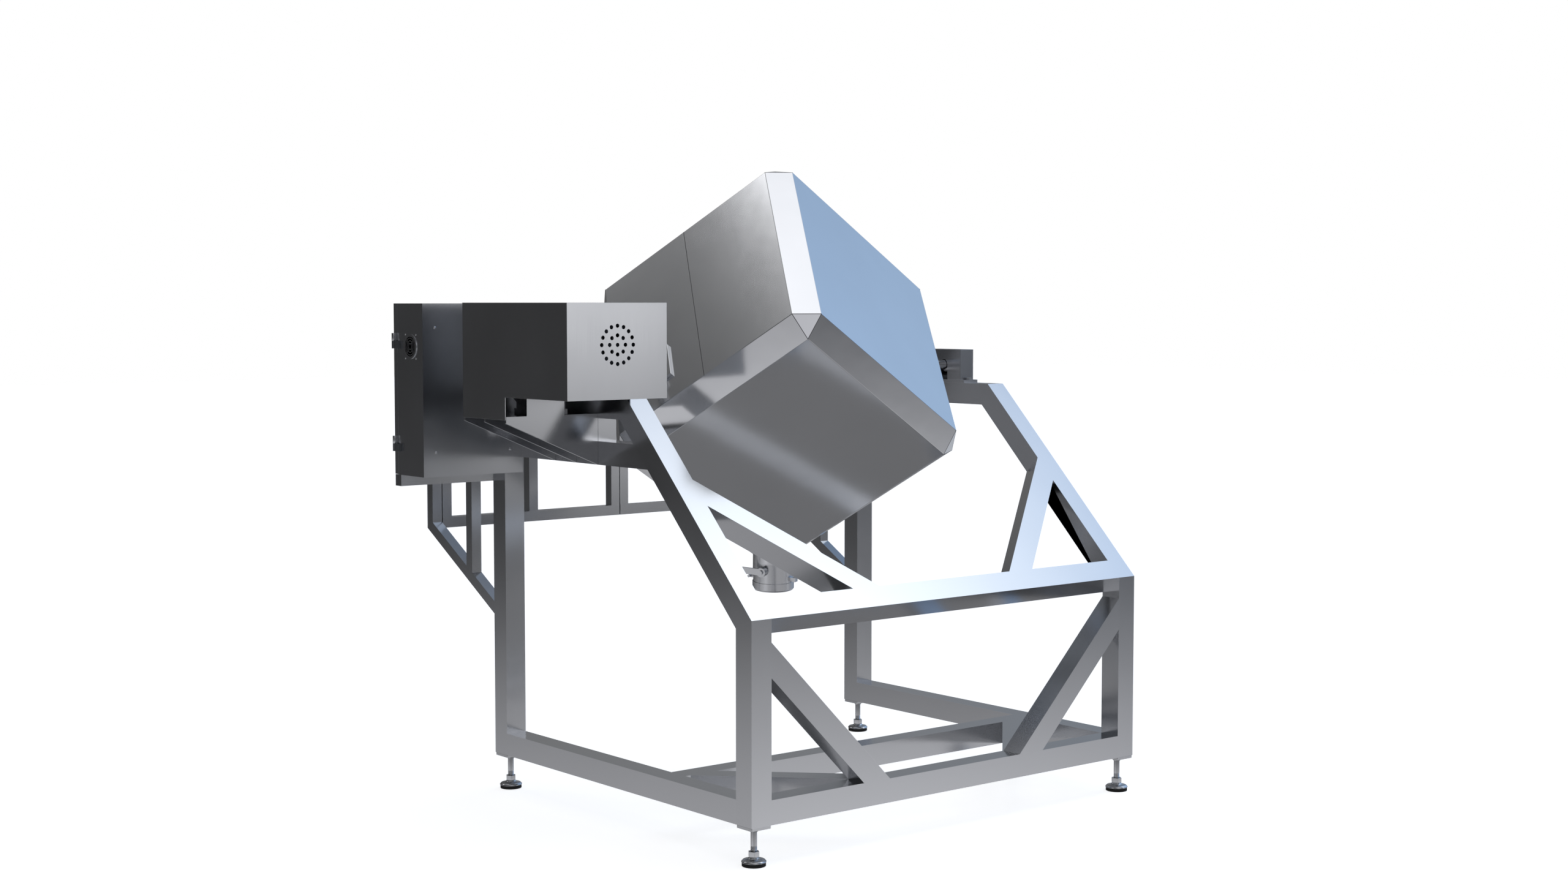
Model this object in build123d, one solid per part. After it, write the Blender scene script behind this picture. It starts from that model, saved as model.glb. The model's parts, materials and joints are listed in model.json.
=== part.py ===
from build123d import *
import os
from math import acos, asin, cos, pi, radians, sin, sqrt, tan

# Cube mixer: a chamfered cube drum hung askew on a level shaft in a welded stand.
# Millimetres, +Z up, +Y from the sloped front towards the guard gate at the rear.
# The origin is on the floor under the front left foot.

# Driving dimensions: the stand
frame_width = 1326.0
frame_depth = 1135.0
tube = 60.0
tube_wall = 2.0
foot_height = 90.0
post_cap = 7.5
front_post_top = 590.0
beam_top = 1098.0
slope_angle = 45.0
brace_reach = 376.0
base_brace_reach = 380.0
base_member_y = 340.0
second_beam_z = 949.0

# Rear brackets and guard gate
gate_tube = 30.0
gate_tube_wall = 2.0
bracket_foot_z = 481.0
bracket_rise = 30.0
gate_reach = 358.0
bracket_mid_reach = 130.0
gate_height = 600.0
gate_gap = 2.5
knuckle_diameter = 16.0
gate_pin_diameter = 8.0
gate_hinge_inset = 120.0
bolt_diameter = 10.0
bolt_travel = 20.0

# Levelling feet
foot_stem_diameter = 16.0
foot_collar_diameter = 25.0
foot_collar_height = 8.0
foot_nut_width = 24.0
foot_nut_height = 13.0
foot_base_diameter = 61.0
foot_base_height = 22.0
foot_pad_diameter = 58.0
foot_pad_height = 8.0

# Drum
cube_edge = 690.0
edge_setback = 53.3
drum_sheet = 3.0
drum_x = 603.0
shaft_y = 663.5
drum_tilt = 32.5
park_angle = 4.4
hub_pad_side = 115.0
hub_pad_thickness = 8.0
shaft_diameter = 30.0
boss_diameter = 56.0
boss_length = 40.0

# Charging hatch
hatch_bore = 400.0
hatch_wall = 3.0
hatch_neck_height = 35.0
hatch_flange_width = 20.0
hatch_flange_thickness = 6.0
gasket_thickness = 4.0
gasket_width = 12.0
lid_thickness = 4.0
lid_dish = 30.0
hinge_pin_diameter = 12.0
hinge_ear_radius = 11.0
hinge_ear_thickness = 8.0
hinge_tongue_width = 48.0
clamp_bolt_diameter = 12.0
clamp_bolt_length = 62.0
clamp_nut_at = 38.0

# Discharge valve, nominal bore 100
valve_bore = 100.0
outlet_pipe_diameter = 114.3
outlet_pipe_wall = 2.0
outlet_pipe_start = 470.0
valve_body_start = 540.0
valve_stem_at = 557.8
clamp_start = 575.5
clamp_end = 594.0
outlet_end = 617.5
outlet_flange_diameter = 116.0
clamp_diameter = 112.0
valve_neck_diameter = 106.0
seat_width = 12.0
seat_depth = 4.0
disc_thickness = 6.0
stem_diameter = 12.0
handle_length = 120.0
handle_direction = 204.8

# Bearings
plate_end_distance = 8.5
plate_width = 54.0
plate_thickness = 9.0
plate_bolt_spacing = 158.0
plate_bolt_diameter = 10.0
bearing_height = 42.9
block_length = 105.0
block_width = 38.0
bearing_outer_diameter = 62.0
inner_ring_diameter = 40.0
inner_ring_width = 34.0
outer_ring_width = 18.0
bearing_cover_length = 143.0
bearing_cover_height = 87.5
bearing_cover_slot = 33.0

# Drive: worm gearbox on the shaft, motor level and square to it
drive_x = -160.0
gear_centre_distance = 80.0
gear_module = 4.25
wheel_teeth = 30
wheel_width = 24.0
worm_length = 50.0
tooth_backlash = 0.3
gear_housing_wall = 7.0
gear_cavity_width = 84.0
gear_cover_thickness = 8.0
gear_foot_length = 116.0
wheel_hub_diameter = 50.0
worm_shaft_diameter = 24.0
motor_radius = 68.0
motor_length = 150.0
motor_flange_radius = 80.0
motor_flange_thickness = 12.0
rotor_radius = 42.0
rotor_length = 110.0
fan_radius = 60.0
fan_width = 20.0
fan_blades = 7
cowl_length = 62.0

# Drive bracket and cover
cover_left_x = -305.0
cover_right_x = -14.0
cover_front_y = 323.0
cover_rear_y = 799.0
cover_top = 1331.0
cover_step_y = 600.0
cover_step_z = 1041.5
sheet = 2.0
gusset_thickness = 5.0
gusset_front_y = 599.0
gusset_mid_y = 697.0
gusset_root_z = 919.0
gusset_tip_z = 1033.0
platform_top = 1050.0
tab_left_x = -243.0
tab_right_x = -131.0
vent_hole = 10.0
vent_outer_circle = 92.0
vent_inner_circle = 46.0

# Control cabinet
cabinet_width = 300.0
cabinet_depth = 150.0
cabinet_bottom = 879.0
cabinet_height = 450.0
cabinet_proud = 1.0
cabinet_sheet = 1.5
door_depth = 18.0
door_gap = 3.0
cabinet_lip = 14.0
upper_controls_drop = 70.0
lower_controls_drop = 150.0
control_inset = 90.0
control_pitch = 90.0
lock_inset = 22.0
inverter_width = 104.0
inverter_height = 170.0
inverter_depth = 80.0
support_tube = 30.0

# Clearances
running_clearance = 0.05
free_clearance = 0.5

# Derived levels and lines of the stand
half = tube / 2
post_bottom = foot_height + post_cap
rail_z = post_bottom + half
rail_top = post_bottom + tube
right_x = frame_width - tube
rear_y = frame_depth - tube
mid_x = right_x / 2
slope = radians(slope_angle)
slope_run = (beam_top - front_post_top) / tan(slope)
post_rear_y = rear_y + half
gate_rear_y = post_rear_y + gate_reach
bracket_mid_y = post_rear_y + bracket_mid_reach
cabinet_rear_y = post_rear_y + cabinet_proud
cabinet_front_y = cabinet_rear_y - cabinet_depth
mitre_drop = half * tan(slope / 2)
beam_z = beam_top - half

# Derived places of the shaft and the drive
shaft_z = beam_top + plate_thickness + bearing_height
shaft_radius = shaft_diameter / 2
plate_length = plate_bolt_spacing + 2 * plate_end_distance
worm_z = shaft_z + gear_centre_distance
left_bearing_x = half - plate_width / 2
right_bearing_x = right_x - half + plate_width / 2


def bearing_x(post_x):
    """The middle of the bearing that stands on this post's beam, flush with the beam's inner side."""
    return left_bearing_x if post_x == 0 else right_bearing_x


inner_ring_radius = inner_ring_diameter / 2
gear_half_width = gear_cavity_width / 2 + gear_cover_thickness
shaft_left_x = drive_x - gear_half_width - 5
shaft_right_x = right_bearing_x + inner_ring_width / 2 + 3

mirror_plane = Plane.YZ.offset(mid_x)


# Helpers

def block(x, y, z):
    """A box between two values on each axis."""
    size = Box(x[1] - x[0], y[1] - y[0], z[1] - z[0], align=(Align.MIN, Align.MIN, Align.MIN))
    return Pos(x[0], y[0], z[0]) * size


def rod(start, direction, length, radius):
    """A round bar from a point along a direction."""
    return Plane(origin=start, z_dir=direction) * extrude(Circle(radius), amount=length)


def ring(plane, outer, inner, start, end):
    """A round ring, or a disc, about a plane's own normal, between two distances along it."""
    flat = Circle(outer) - Circle(inner) if inner > 0 else Circle(outer)
    return extrude(plane.offset(start) * flat, amount=end - start)


def bar(start, end, side, cuts=(), size=tube, wall=tube_wall):
    """A hollow square tube, trimmed by planes whose normals point into what stays."""
    along = Vector(*end) - Vector(*start)
    section = Rectangle(size, size) - Rectangle(size - 2 * wall, size - 2 * wall)
    piece = extrude(Plane(origin=start, x_dir=side, z_dir=along) * section, amount=along.length)
    for cut in cuts:
        piece = split(piece, bisect_by=cut, keep=Keep.TOP)
    return piece


def mitred_run(points, side, size=tube, wall=tube_wall, first_cut=None):
    """Tubes along a line of centre points, mitred to each other at every corner."""
    points = [Vector(*p) for p in points]
    steps = [(b - a).normalized() for a, b in zip(points, points[1:])]
    pieces = []
    for i, step in enumerate(steps):
        start, end, cuts = points[i], points[i + 1], []
        if i > 0:
            cuts.append(Plane(origin=start, z_dir=step + steps[i - 1]))
            start = start - step * size
        elif first_cut is not None:
            cuts.append(first_cut)
            start = start - step * size
        if i < len(steps) - 1:
            cuts.append(Plane(origin=end, z_dir=(step + steps[i + 1]) * -1))
            end = end + step * size
        pieces.append(bar(start, end, side, cuts, size, wall))
    return pieces


def corner_brace(post_edge, rail_edge, reach, limit=None):
    """A 45 degree brace in a local plane, from a post edge (x) down to a rail edge (y)."""
    middle = post_edge + rail_edge + reach - half * sqrt(2)
    start = (middle - rail_edge + tube, rail_edge - tube, 0)
    end = (post_edge - tube, middle - post_edge + tube, 0)
    cuts = [Plane(origin=(post_edge, 0, 0), z_dir=(1, 0, 0)), Plane(origin=(0, rail_edge, 0), z_dir=(0, 1, 0))]
    if limit is not None:
        cuts.append(Plane(origin=(0, limit, 0), z_dir=(0, -1, 0)))
    return bar(start, end, (0, 0, 1), cuts)


def pair(piece):
    """A piece of the left half of the stand and its mirror image in the right half."""
    return [piece, mirror(piece, about=mirror_plane)]


def save(name, pieces):
    """Write one sub-part as a group of separate solids."""
    solids = [solid for piece in pieces for solid in piece.solids()]
    export_step(Compound(solids), f"parts/{name}.step")


# Stand

def side_run(x):
    """Front post, sloped beam, top beam and rear post, in one mitred line."""
    points = [
        (x, 0, post_bottom),
        (x, 0, front_post_top - mitre_drop),
        (x, slope_run - half + mitre_drop, beam_z),
        (x, rear_y, beam_z),
        (x, rear_y, post_bottom),
    ]
    side_rail = bar((x, half, rail_z), (x, rear_y - half, rail_z), (1, 0, 0))
    front, slanted, top, rear = mitred_run(points, (1, 0, 0))
    for side in (-1, 1):
        place = (bearing_x(x), shaft_y + side * plate_bolt_spacing / 2, beam_top - tube)
        top -= rod(place, (0, 0, 1), tube, plate_bolt_diameter / 2) & block(
            (x - half, x + half), (0, rear_y), (beam_z, beam_top))
    return [front, slanted, top, rear, side_rail]


def second_beam():
    """The lower beam on the drive side, from the sloped beam back to the rear post."""
    underside = (0, -half + tube * sin(slope), front_post_top - tube * cos(slope))
    cut = Plane(origin=underside, z_dir=(0, sin(slope), -cos(slope)))
    start_y = second_beam_z - front_post_top
    return bar((0, start_y - tube, second_beam_z), (0, rear_y - half, second_beam_z), (1, 0, 0), [cut])


def cabinet_support():
    """The small tube under the back of the cabinet, welded to the left rear post."""
    y = rear_y + half - support_tube / 2
    z = cabinet_bottom - support_tube / 2
    return bar((-half - cabinet_width, y, z), (-half, y, z), (0, 0, 1), (), support_tube, gate_tube_wall)


def front_members():
    """Bottom front rail and its two braces."""
    face = Plane(origin=(0, 0, 0), x_dir=(1, 0, 0), z_dir=(0, -1, 0))
    brace = face.location * corner_brace(half, rail_top, brace_reach)
    rail = bar((half, 0, rail_z), (right_x - half, 0, rail_z), (0, 1, 0))
    return [rail] + pair(brace)


def slope_members():
    """Cross-beam and braces that lie in the sloped front."""
    face = Plane(origin=(0, -half, front_post_top), x_dir=(1, 0, 0), z_dir=(0, -sin(slope), cos(slope)))
    middle = face.offset(-half)
    beam = middle.location * bar((half, half, 0), (right_x - half, half, 0), (0, 0, 1))
    brace = middle.location * corner_brace(half, tube, brace_reach)
    return [beam] + pair(brace)


def base_members():
    """Cross member and flat braces between the bottom rails."""
    level = Plane.XY.offset(rail_z)
    member = bar((half, base_member_y, rail_z), (right_x - half, base_member_y, rail_z), (0, 0, 1))
    brace = level.location * corner_brace(half, half, base_brace_reach, base_member_y - half)
    return [member] + pair(brace)


bracket_left_x = -half + gate_tube / 2
bracket_right_x = right_x - half + gate_tube / 2
gate_y = gate_rear_y - gate_tube / 2
rise = radians(bracket_rise)
diagonal_z = bracket_foot_z + gate_tube / 2 / cos(rise)
corner_z = diagonal_z + (gate_y - post_rear_y) * tan(rise)
gate_bottom = bracket_foot_z + (gate_rear_y - post_rear_y) * tan(rise)
gate_top = gate_bottom + gate_height


def bracket(x):
    """One rear bracket: rising arm, end upright, level arm and a middle upright."""
    post_face = Plane(origin=(x, post_rear_y, 0), z_dir=(0, 1, 0))
    points = [(x, post_rear_y, diagonal_z), (x, gate_y, corner_z), (x, gate_y, gate_top)]
    outline = mitred_run(points, (1, 0, 0), gate_tube, gate_tube_wall, post_face)
    arm_z = beam_top - gate_tube / 2
    arm = bar((x, post_rear_y, arm_z), (x, gate_y - gate_tube / 2, arm_z), (1, 0, 0), (), gate_tube, gate_tube_wall)
    top_of_diagonal = (x, post_rear_y, bracket_foot_z + gate_tube / cos(rise))
    seat = Plane(origin=top_of_diagonal, z_dir=(0, -sin(rise), cos(rise)))
    upright_top = (x, bracket_mid_y, beam_top - gate_tube)
    upright = bar((x, bracket_mid_y, bracket_foot_z), upright_top, (1, 0, 0), [seat], gate_tube, gate_tube_wall)
    return outline + [arm, upright]


# Levelling feet, one under each post

foot_places = [(x, y) for x in (0, right_x) for y in (0, rear_y)]
foot_nut_z = foot_base_height


def at_feet(piece):
    return [Pos(x, y, 0) * piece for x, y in foot_places]


def post_cap_piece():
    inset = tube - 2
    plate = extrude(Plane.XY.offset(foot_height) * RectangleRounded(inset, inset, 1.5), amount=post_cap)
    return plate - rod((0, 0, foot_height), (0, 0, 1), post_cap, foot_stem_diameter / 2)


def foot_stem():
    start = foot_base_height - 6
    return rod((0, 0, start), (0, 0, 1), post_bottom - start, foot_stem_diameter / 2)


def foot_collar():
    cone = loft([
        Plane.XY.offset(foot_height - foot_collar_height) * Circle(foot_collar_diameter / 2 - 3),
        Plane.XY.offset(foot_height) * Circle(foot_collar_diameter / 2),
    ])
    return cone - rod((0, 0, 0), (0, 0, 1), foot_height, foot_stem_diameter / 2)


def foot_nut():
    nut = extrude(Plane.XY.offset(foot_nut_z) * RegularPolygon(foot_nut_width / 2, 6, major_radius=False),
                  amount=foot_nut_height)
    return nut - rod((0, 0, 0), (0, 0, 1), foot_height, foot_stem_diameter / 2)


def foot_base():
    """A turned dome with a neck that takes the stem."""
    radius = foot_base_diameter / 2
    neck = foot_stem_diameter / 2 + 4
    outline = Polyline(
        (0, foot_pad_height), (radius - 1, foot_pad_height), (radius, foot_pad_height + 3),
        (radius - 4, foot_pad_height + 7), (neck + 2, foot_base_height - 4), (neck, foot_base_height),
        (0, foot_base_height), (0, foot_pad_height),
    )
    dome = revolve(Plane.XZ * make_face(outline), axis=Axis.Z)
    return dome - rod((0, 0, foot_base_height - 6), (0, 0, 1), 6, foot_stem_diameter / 2)


def foot_pad():
    return rod((0, 0, 0), (0, 0, 1), foot_pad_height, foot_pad_diameter / 2)


# Drum: a cube with flat edge strips, turned so that one corner is lowest

centre = Vector(drum_x, shaft_y, shaft_z)
tilt = radians(drum_tilt)
axis_one = Vector(sin(tilt) / sqrt(2), 1 / sqrt(2), cos(tilt) / sqrt(2)).rotate(Axis.X, park_angle)
axis_three = Vector(sin(tilt) / sqrt(2), -1 / sqrt(2), cos(tilt) / sqrt(2)).rotate(Axis.X, park_angle)
drum = Plane(origin=centre, x_dir=axis_one, z_dir=axis_three)
reach_out = cube_edge / 2
flat_out = reach_out - edge_setback
reach_in = reach_out - drum_sheet
flat_in = flat_out - drum_sheet * (sqrt(2) - 1)
shaft_in_drum = Vector(*(Vector(1, 0, 0).dot(d) for d in (drum.x_dir, drum.y_dir, drum.z_dir)))
outlet_axis = (drum.x_dir + drum.y_dir + drum.z_dir).normalized() * -1
stem_flat = Vector(cos(radians(handle_direction)), sin(radians(handle_direction)), 0)
outlet = Plane(origin=centre, x_dir=stem_flat - outlet_axis * stem_flat.dot(outlet_axis), z_dir=outlet_axis)


def drum_points(signs, full):
    """Outer and inner vertex next to one cube corner, on the face that 'full' names."""
    outer = [s * (reach_out if i == full else flat_out) for i, s in enumerate(signs)]
    inner = [s * (reach_in if i == full else flat_in) for i, s in enumerate(signs)]
    return [tuple(outer), tuple(inner)]


corners = [(a, b, c) for a in (-1, 1) for b in (-1, 1) for c in (-1, 1)]
outlet_corner = (-1, -1, -1)


def face_panel(axis, sign):
    points = [p for corner in corners if corner[axis] == sign for p in drum_points(corner, axis)]
    return ConvexPolyhedron(points)


def edge_strip(first, second, first_sign, second_sign):
    ends = [c for c in corners if c[first] == first_sign and c[second] == second_sign]
    return ConvexPolyhedron([p for c in ends for full in (first, second) for p in drum_points(c, full)])


def corner_plate(corner):
    return ConvexPolyhedron([p for full in range(3) for p in drum_points(corner, full)])


def placed(piece):
    return drum.location * piece


outlet_hole = rod(centre + outlet_axis * 450, outlet_axis, 200, outlet_pipe_diameter / 2)
hatch_outer = hatch_bore / 2 + hatch_wall
hatch_top = reach_out + hatch_neck_height
hatch = Plane(origin=centre, x_dir=(drum.y_dir + drum.z_dir), z_dir=drum.x_dir)


def drum_panels():
    """Five face panels; the two that carry the shaft are in halves, welded along a seam."""
    pieces = [placed(face_panel(0, -1)) - outlet_hole]
    pieces += [placed(face_panel(2, 1)), placed(face_panel(2, -1)) - outlet_hole]
    for sign in (-1, 1):
        whole = face_panel(1, sign)
        for keep in (Keep.TOP, Keep.BOTTOM):
            part = placed(split(whole, bisect_by=Plane.XY, keep=keep))
            pieces.append(part - outlet_hole)
    return pieces


def drum_hatch_panel():
    hole = rod(centre, drum.x_dir, cube_edge, hatch_outer)
    return placed(face_panel(0, 1)) - hole


def drum_edge_strips():
    pieces = []
    for first, second in ((0, 1), (0, 2), (1, 2)):
        for first_sign in (-1, 1):
            for second_sign in (-1, 1):
                strip = placed(edge_strip(first, second, first_sign, second_sign))
                by_outlet = first_sign == -1 and second_sign == -1
                pieces.append(strip - outlet_hole if by_outlet else strip)
    return pieces


def drum_corner_plates():
    return [placed(corner_plate(c)) for c in corners if c != outlet_corner]


# Shaft ends: a pad on the drum, and a boss and shaft cut to the pad's slope

def hub_point(side, height):
    """Where the shaft's axis meets a plane at this height over a side panel (side is -1 or +1 in X)."""
    share = side * height / abs(shaft_in_drum.Y)
    return shaft_in_drum * share


def hub_pad(side):
    place = hub_point(side, reach_out)
    height = -side * (reach_out + hub_pad_thickness / 2)
    return placed(Pos(place.X, height, place.Z) * Box(hub_pad_side, hub_pad_thickness, hub_pad_side))


def trunnion(side, end_x):
    direction = (side, 0, 0)
    seat = Plane(origin=centre + drum.y_dir * (-side * (reach_out + hub_pad_thickness)), z_dir=drum.y_dir * -side)
    seat_x = (reach_out + hub_pad_thickness) / abs(shaft_in_drum.Y)
    boss = rod(centre, direction, seat_x + boss_length, boss_diameter / 2)
    shaft = rod(centre, direction, abs(end_x - drum_x), shaft_radius)
    return split(boss + shaft, bisect_by=seat, keep=Keep.TOP)


# Charging hatch on the upper rear face, hinged at its highest edge

flange_radius = hatch_outer + hatch_flange_width
gasket_top = hatch_top + gasket_thickness
lid_radius = flange_radius
hinge_x = lid_radius + 16
hinge_height = gasket_top + lid_thickness / 2
clamp_angles = {"hatch_clamp_left": 120.0, "hatch_clamp_right": -120.0}
clamp_pivot_radius = flange_radius + 14
clamp_pivot_height = hatch_top - 22


def hatch_neck():
    neck = ring(hatch, hatch_outer, hatch_bore / 2, reach_in, hatch_top)
    flange = ring(hatch, flange_radius, hatch_bore / 2, hatch_top - hatch_flange_thickness, hatch_top)
    return neck + flange


def hatch_gasket():
    inner = hatch_outer + 3
    return ring(hatch, inner + gasket_width, inner, hatch_top, gasket_top)


def hatch_lid():
    """A flat rim, a dished middle, a hinge tongue and two slotted clamp lugs."""
    rim = ring(hatch, lid_radius, hatch_bore / 2 - 8, gasket_top, gasket_top + lid_thickness)
    bowl = hatch_bore / 2 - 8
    sphere = (bowl ** 2 + lid_dish ** 2) / (2 * lid_dish)
    base = hatch.offset(gasket_top + lid_dish - sphere)
    outer = base.location * Sphere(sphere + lid_thickness)
    inner = base.location * Sphere(sphere)
    room = ring(hatch, bowl + lid_thickness, 0, gasket_top, gasket_top + 2 * lid_dish)
    dish = (outer - inner) & room
    reach, pin = hinge_tongue_width / 2, hinge_pin_diameter / 2
    tongue = hatch.offset(gasket_top).location * block(
        (lid_radius - 8, hinge_x), (-reach, reach), (0, lid_thickness))
    knuckle = rod(hatch.from_local_coords((hinge_x, -reach, hinge_height)), hatch.y_dir, 2 * reach, pin + 5)
    bore = rod(hatch.from_local_coords((hinge_x, -reach, hinge_height)), hatch.y_dir, 2 * reach,
               pin + running_clearance)
    lid = rim + dish + tongue + knuckle - bore
    for angle in clamp_angles.values():
        lug = block((lid_radius - 8, clamp_pivot_radius + 14), (-18, 18), (0, 8))
        slot = block((clamp_pivot_radius - 9, clamp_pivot_radius + 20), (-8, 8), (-1, 9))
        turned = hatch.offset(gasket_top).location * Rot(0, 0, angle)
        lid = lid + turned * lug - turned * slot
    return lid


def hatch_handle():
    """A bent round grip across the lid, away from its hinge."""
    top = gasket_top + lid_thickness
    path = FilletPolyline(
        (-lid_radius + 14, -50, top), (-lid_radius + 14, -50, top + 40),
        (-lid_radius + 14, 50, top + 40), (-lid_radius + 14, 50, top), radius=14)
    grip = sweep(Plane(origin=path @ 0, z_dir=path % 0) * Circle(6), path=path)
    return hatch.location * grip


def hatch_hinge():
    """Two ears on the flange, rounded about the pin so that the lid's edge swings past them, and the pin."""
    ears = []
    inner = hinge_tongue_width / 2 + 1
    outer = inner + hinge_ear_thickness
    wall = ring(Plane.XY, flange_radius, 0, hatch_top - 30, hatch_top + 30)
    for y in ((inner, outer), (-outer, -inner)):
        far = hinge_x + hinge_ear_radius
        foot = block((flange_radius - 6, far), y, (hatch_top - 20, hatch_top))
        cheek = block((hinge_x - hinge_ear_radius, far), y, (hatch_top - 20, hinge_height))
        eye = rod((hinge_x, y[0], hinge_height), (0, 1, 0), hinge_ear_thickness, hinge_ear_radius)
        ears.append(hatch.location * (foot + cheek + eye - wall))
    pin_reach = outer + 3
    pin = rod(hatch.from_local_coords((hinge_x, -pin_reach, hinge_height)), hatch.y_dir, 2 * pin_reach,
              hinge_pin_diameter / 2)
    return [ear - pin for ear in ears] + [pin]


def clamp_plane(angle):
    """A plane at a clamp's pivot: x outwards, y along the pivot pin, z off the hatch face."""
    turned = Vector(1, 0, 0).rotate(Axis.Z, angle)
    origin = hatch.from_local_coords(turned * clamp_pivot_radius + Vector(0, 0, clamp_pivot_height))
    x_dir = hatch.x_dir * turned.X + hatch.y_dir * turned.Y
    return Plane(origin=origin, x_dir=x_dir, z_dir=hatch.z_dir)


def clamp_ears(angle):
    plane = clamp_plane(angle)
    ears = []
    wall = ring(hatch, flange_radius, 0, hatch_top - hatch_flange_thickness, hatch_top)
    for side in (-1, 1):
        y = (10, 16) if side > 0 else (-16, -10)
        plate = block((-clamp_pivot_radius + hatch_outer + 1, 9), y, (-9, 22 - hatch_flange_thickness))
        ears.append(plane.location * plate - ring(hatch, hatch_outer, 0, reach_out, hatch_top))
    pin = plane.location * rod((0, -18, 0), (0, 1, 0), 36, 4)
    return [ear - pin for ear in ears] + [pin]


def hatch_clamp(angle):
    """A swing bolt with an eye on its pin and a wing nut, parked outwards."""
    plane = clamp_plane(angle)
    eye = rod((0, -9, 0), (0, 1, 0), 18, 8) - rod((0, -9, 0), (0, 1, 0), 18, 4 + running_clearance)
    shank = rod((7, 0, 0), (1, 0, 0), clamp_bolt_length, clamp_bolt_diameter / 2 - 1)
    hub = rod((clamp_nut_at, 0, 0), (1, 0, 0), 16, 11)
    wings = block((clamp_nut_at + 5, clamp_nut_at + 22), (-34, 34), (-3, 3))
    return [plane.location * (eye + shank), plane.location * (hub + wings - shank)]


# Discharge valve on the cut corner

def outlet_pipe():
    tube_ring = ring(outlet, outlet_pipe_diameter / 2, outlet_pipe_diameter / 2 - outlet_pipe_wall,
                     outlet_pipe_start, valve_body_start)
    inside = ConvexPolyhedron([drum_points(c, full)[1] for c in corners for full in range(3)])
    sleeve = tube_ring - placed(inside)
    return sleeve.solids().sort_by(lambda s: s.volume)[-1]


stem_line = outlet.offset(valve_stem_at)
body_radius = outlet_pipe_diameter / 2
neck_radius = valve_neck_diameter / 2
joint_at = (clamp_start + clamp_end) / 2
stem_reach = body_radius + 12


def stem_bore(extra):
    start = stem_line.from_local_coords((-body_radius - 20, 0, 0))
    return rod(start, stem_line.x_dir, 2 * body_radius + 60, stem_diameter / 2 + extra)


def valve_body():
    """The upper body with its seat groove and stem bosses, ending in a clamp neck."""
    bore = valve_bore / 2
    shell = ring(outlet, body_radius, bore, valve_body_start, clamp_start)
    neck = ring(outlet, neck_radius, bore, clamp_start, joint_at)
    groove = ring(outlet, bore + seat_depth, 0, valve_stem_at - seat_width / 2, valve_stem_at + seat_width / 2)
    bosses = rod(stem_line.from_local_coords((-body_radius - 5, 0, 0)), stem_line.x_dir,
                 2 * body_radius + 10, 11) - ring(outlet, body_radius - 2, 0, valve_body_start, clamp_start)
    return shell + neck + bosses - groove - stem_bore(running_clearance)


def valve_seat():
    bore = valve_bore / 2
    seat = ring(outlet, bore + seat_depth, bore, valve_stem_at - seat_width / 2, valve_stem_at + seat_width / 2)
    return seat - stem_bore(running_clearance)


def outlet_ferrule():
    bore = valve_bore / 2
    neck = ring(outlet, neck_radius, bore, joint_at, clamp_end)
    flange = ring(outlet, outlet_flange_diameter / 2, bore, clamp_end, outlet_end)
    rim = flange.edges().filter_by(GeomType.CIRCLE).sort_by(outlet_edge_height)[-1]
    return neck + fillet(rim, 5)


def outlet_edge_height(edge):
    """Sorts edges by distance along the outlet, then by size."""
    return (edge.arc_center - centre).dot(outlet_axis) + edge.radius / 1000


def outlet_clamp():
    """Two half rings with ears, a hinge pin on one side and a wing bolt on the other."""
    outer = clamp_diameter / 2
    band = ring(outlet, outer, neck_radius, clamp_start, clamp_end)
    ears = outlet.offset(joint_at).location * (
        Pos(0, outer + 6, 0) * Box(16, 20, 12) + Pos(0, -outer - 6, 0) * Box(16, 20, 12))
    whole = band + (ears - ring(outlet, outer - 1, 0, clamp_start, clamp_end))
    parting = outlet.offset(joint_at).location * Box(1, 4 * outer, 60)
    bolt = outlet.offset(joint_at).location * rod((-22, outer + 10, 0), (1, 0, 0), 44, 4)
    halves = whole - parting - bolt
    return halves.solids() + [bolt]


def valve_disc():
    """The disc, a slice of a ball, on its stem."""
    ball = stem_line.location * Sphere(valve_bore / 2 - 0.4)
    slab = stem_line.location * Box(valve_bore, valve_bore, disc_thickness)
    start = stem_line.from_local_coords((-body_radius - 3, 0, 0))
    stem = rod(start, stem_line.x_dir, body_radius + 3 + stem_reach + 14, stem_diameter / 2)
    return (ball & slab) + stem


def valve_handle():
    """A flat lever on the stem's end, level when the valve is shut, with a nut over it."""
    start = stem_line.from_local_coords((body_radius + 7, 0, 0))
    hub = rod(start, stem_line.x_dir, 14, 13)
    lever = stem_line.location * block((body_radius + 11, body_radius + 17), (8, handle_length), (-9, 9))
    tip = rod(stem_line.from_local_coords((body_radius + 11, handle_length, 0)), stem_line.x_dir, 6, 9)
    return hub + lever + tip - stem_bore(0)


# Bearings

def bearing_plate(x):
    y = (shaft_y - plate_length / 2, shaft_y + plate_length / 2)
    plate = block((x - plate_width / 2, x + plate_width / 2), y, (beam_top, beam_top + plate_thickness))
    for side in (-1, 1):
        hole_y = shaft_y + side * plate_bolt_spacing / 2
        plate -= rod((x, hole_y, beam_top), (0, 0, 1), plate_thickness, plate_bolt_diameter / 2)
    return plate


def plate_bolts(x):
    bolts = []
    for side in (-1, 1):
        place = (x, shaft_y + side * plate_bolt_spacing / 2, beam_top + plate_thickness)
        head = Plane(origin=place) * extrude(RegularPolygon(7.5, 6, major_radius=False), amount=6.4)
        low = (place[0], place[1], beam_top - tube_wall)
        shank = rod(low, (0, 0, 1), tube_wall + plate_thickness, plate_bolt_diameter / 2)
        bolts.append(head + shank)
    return bolts


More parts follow.
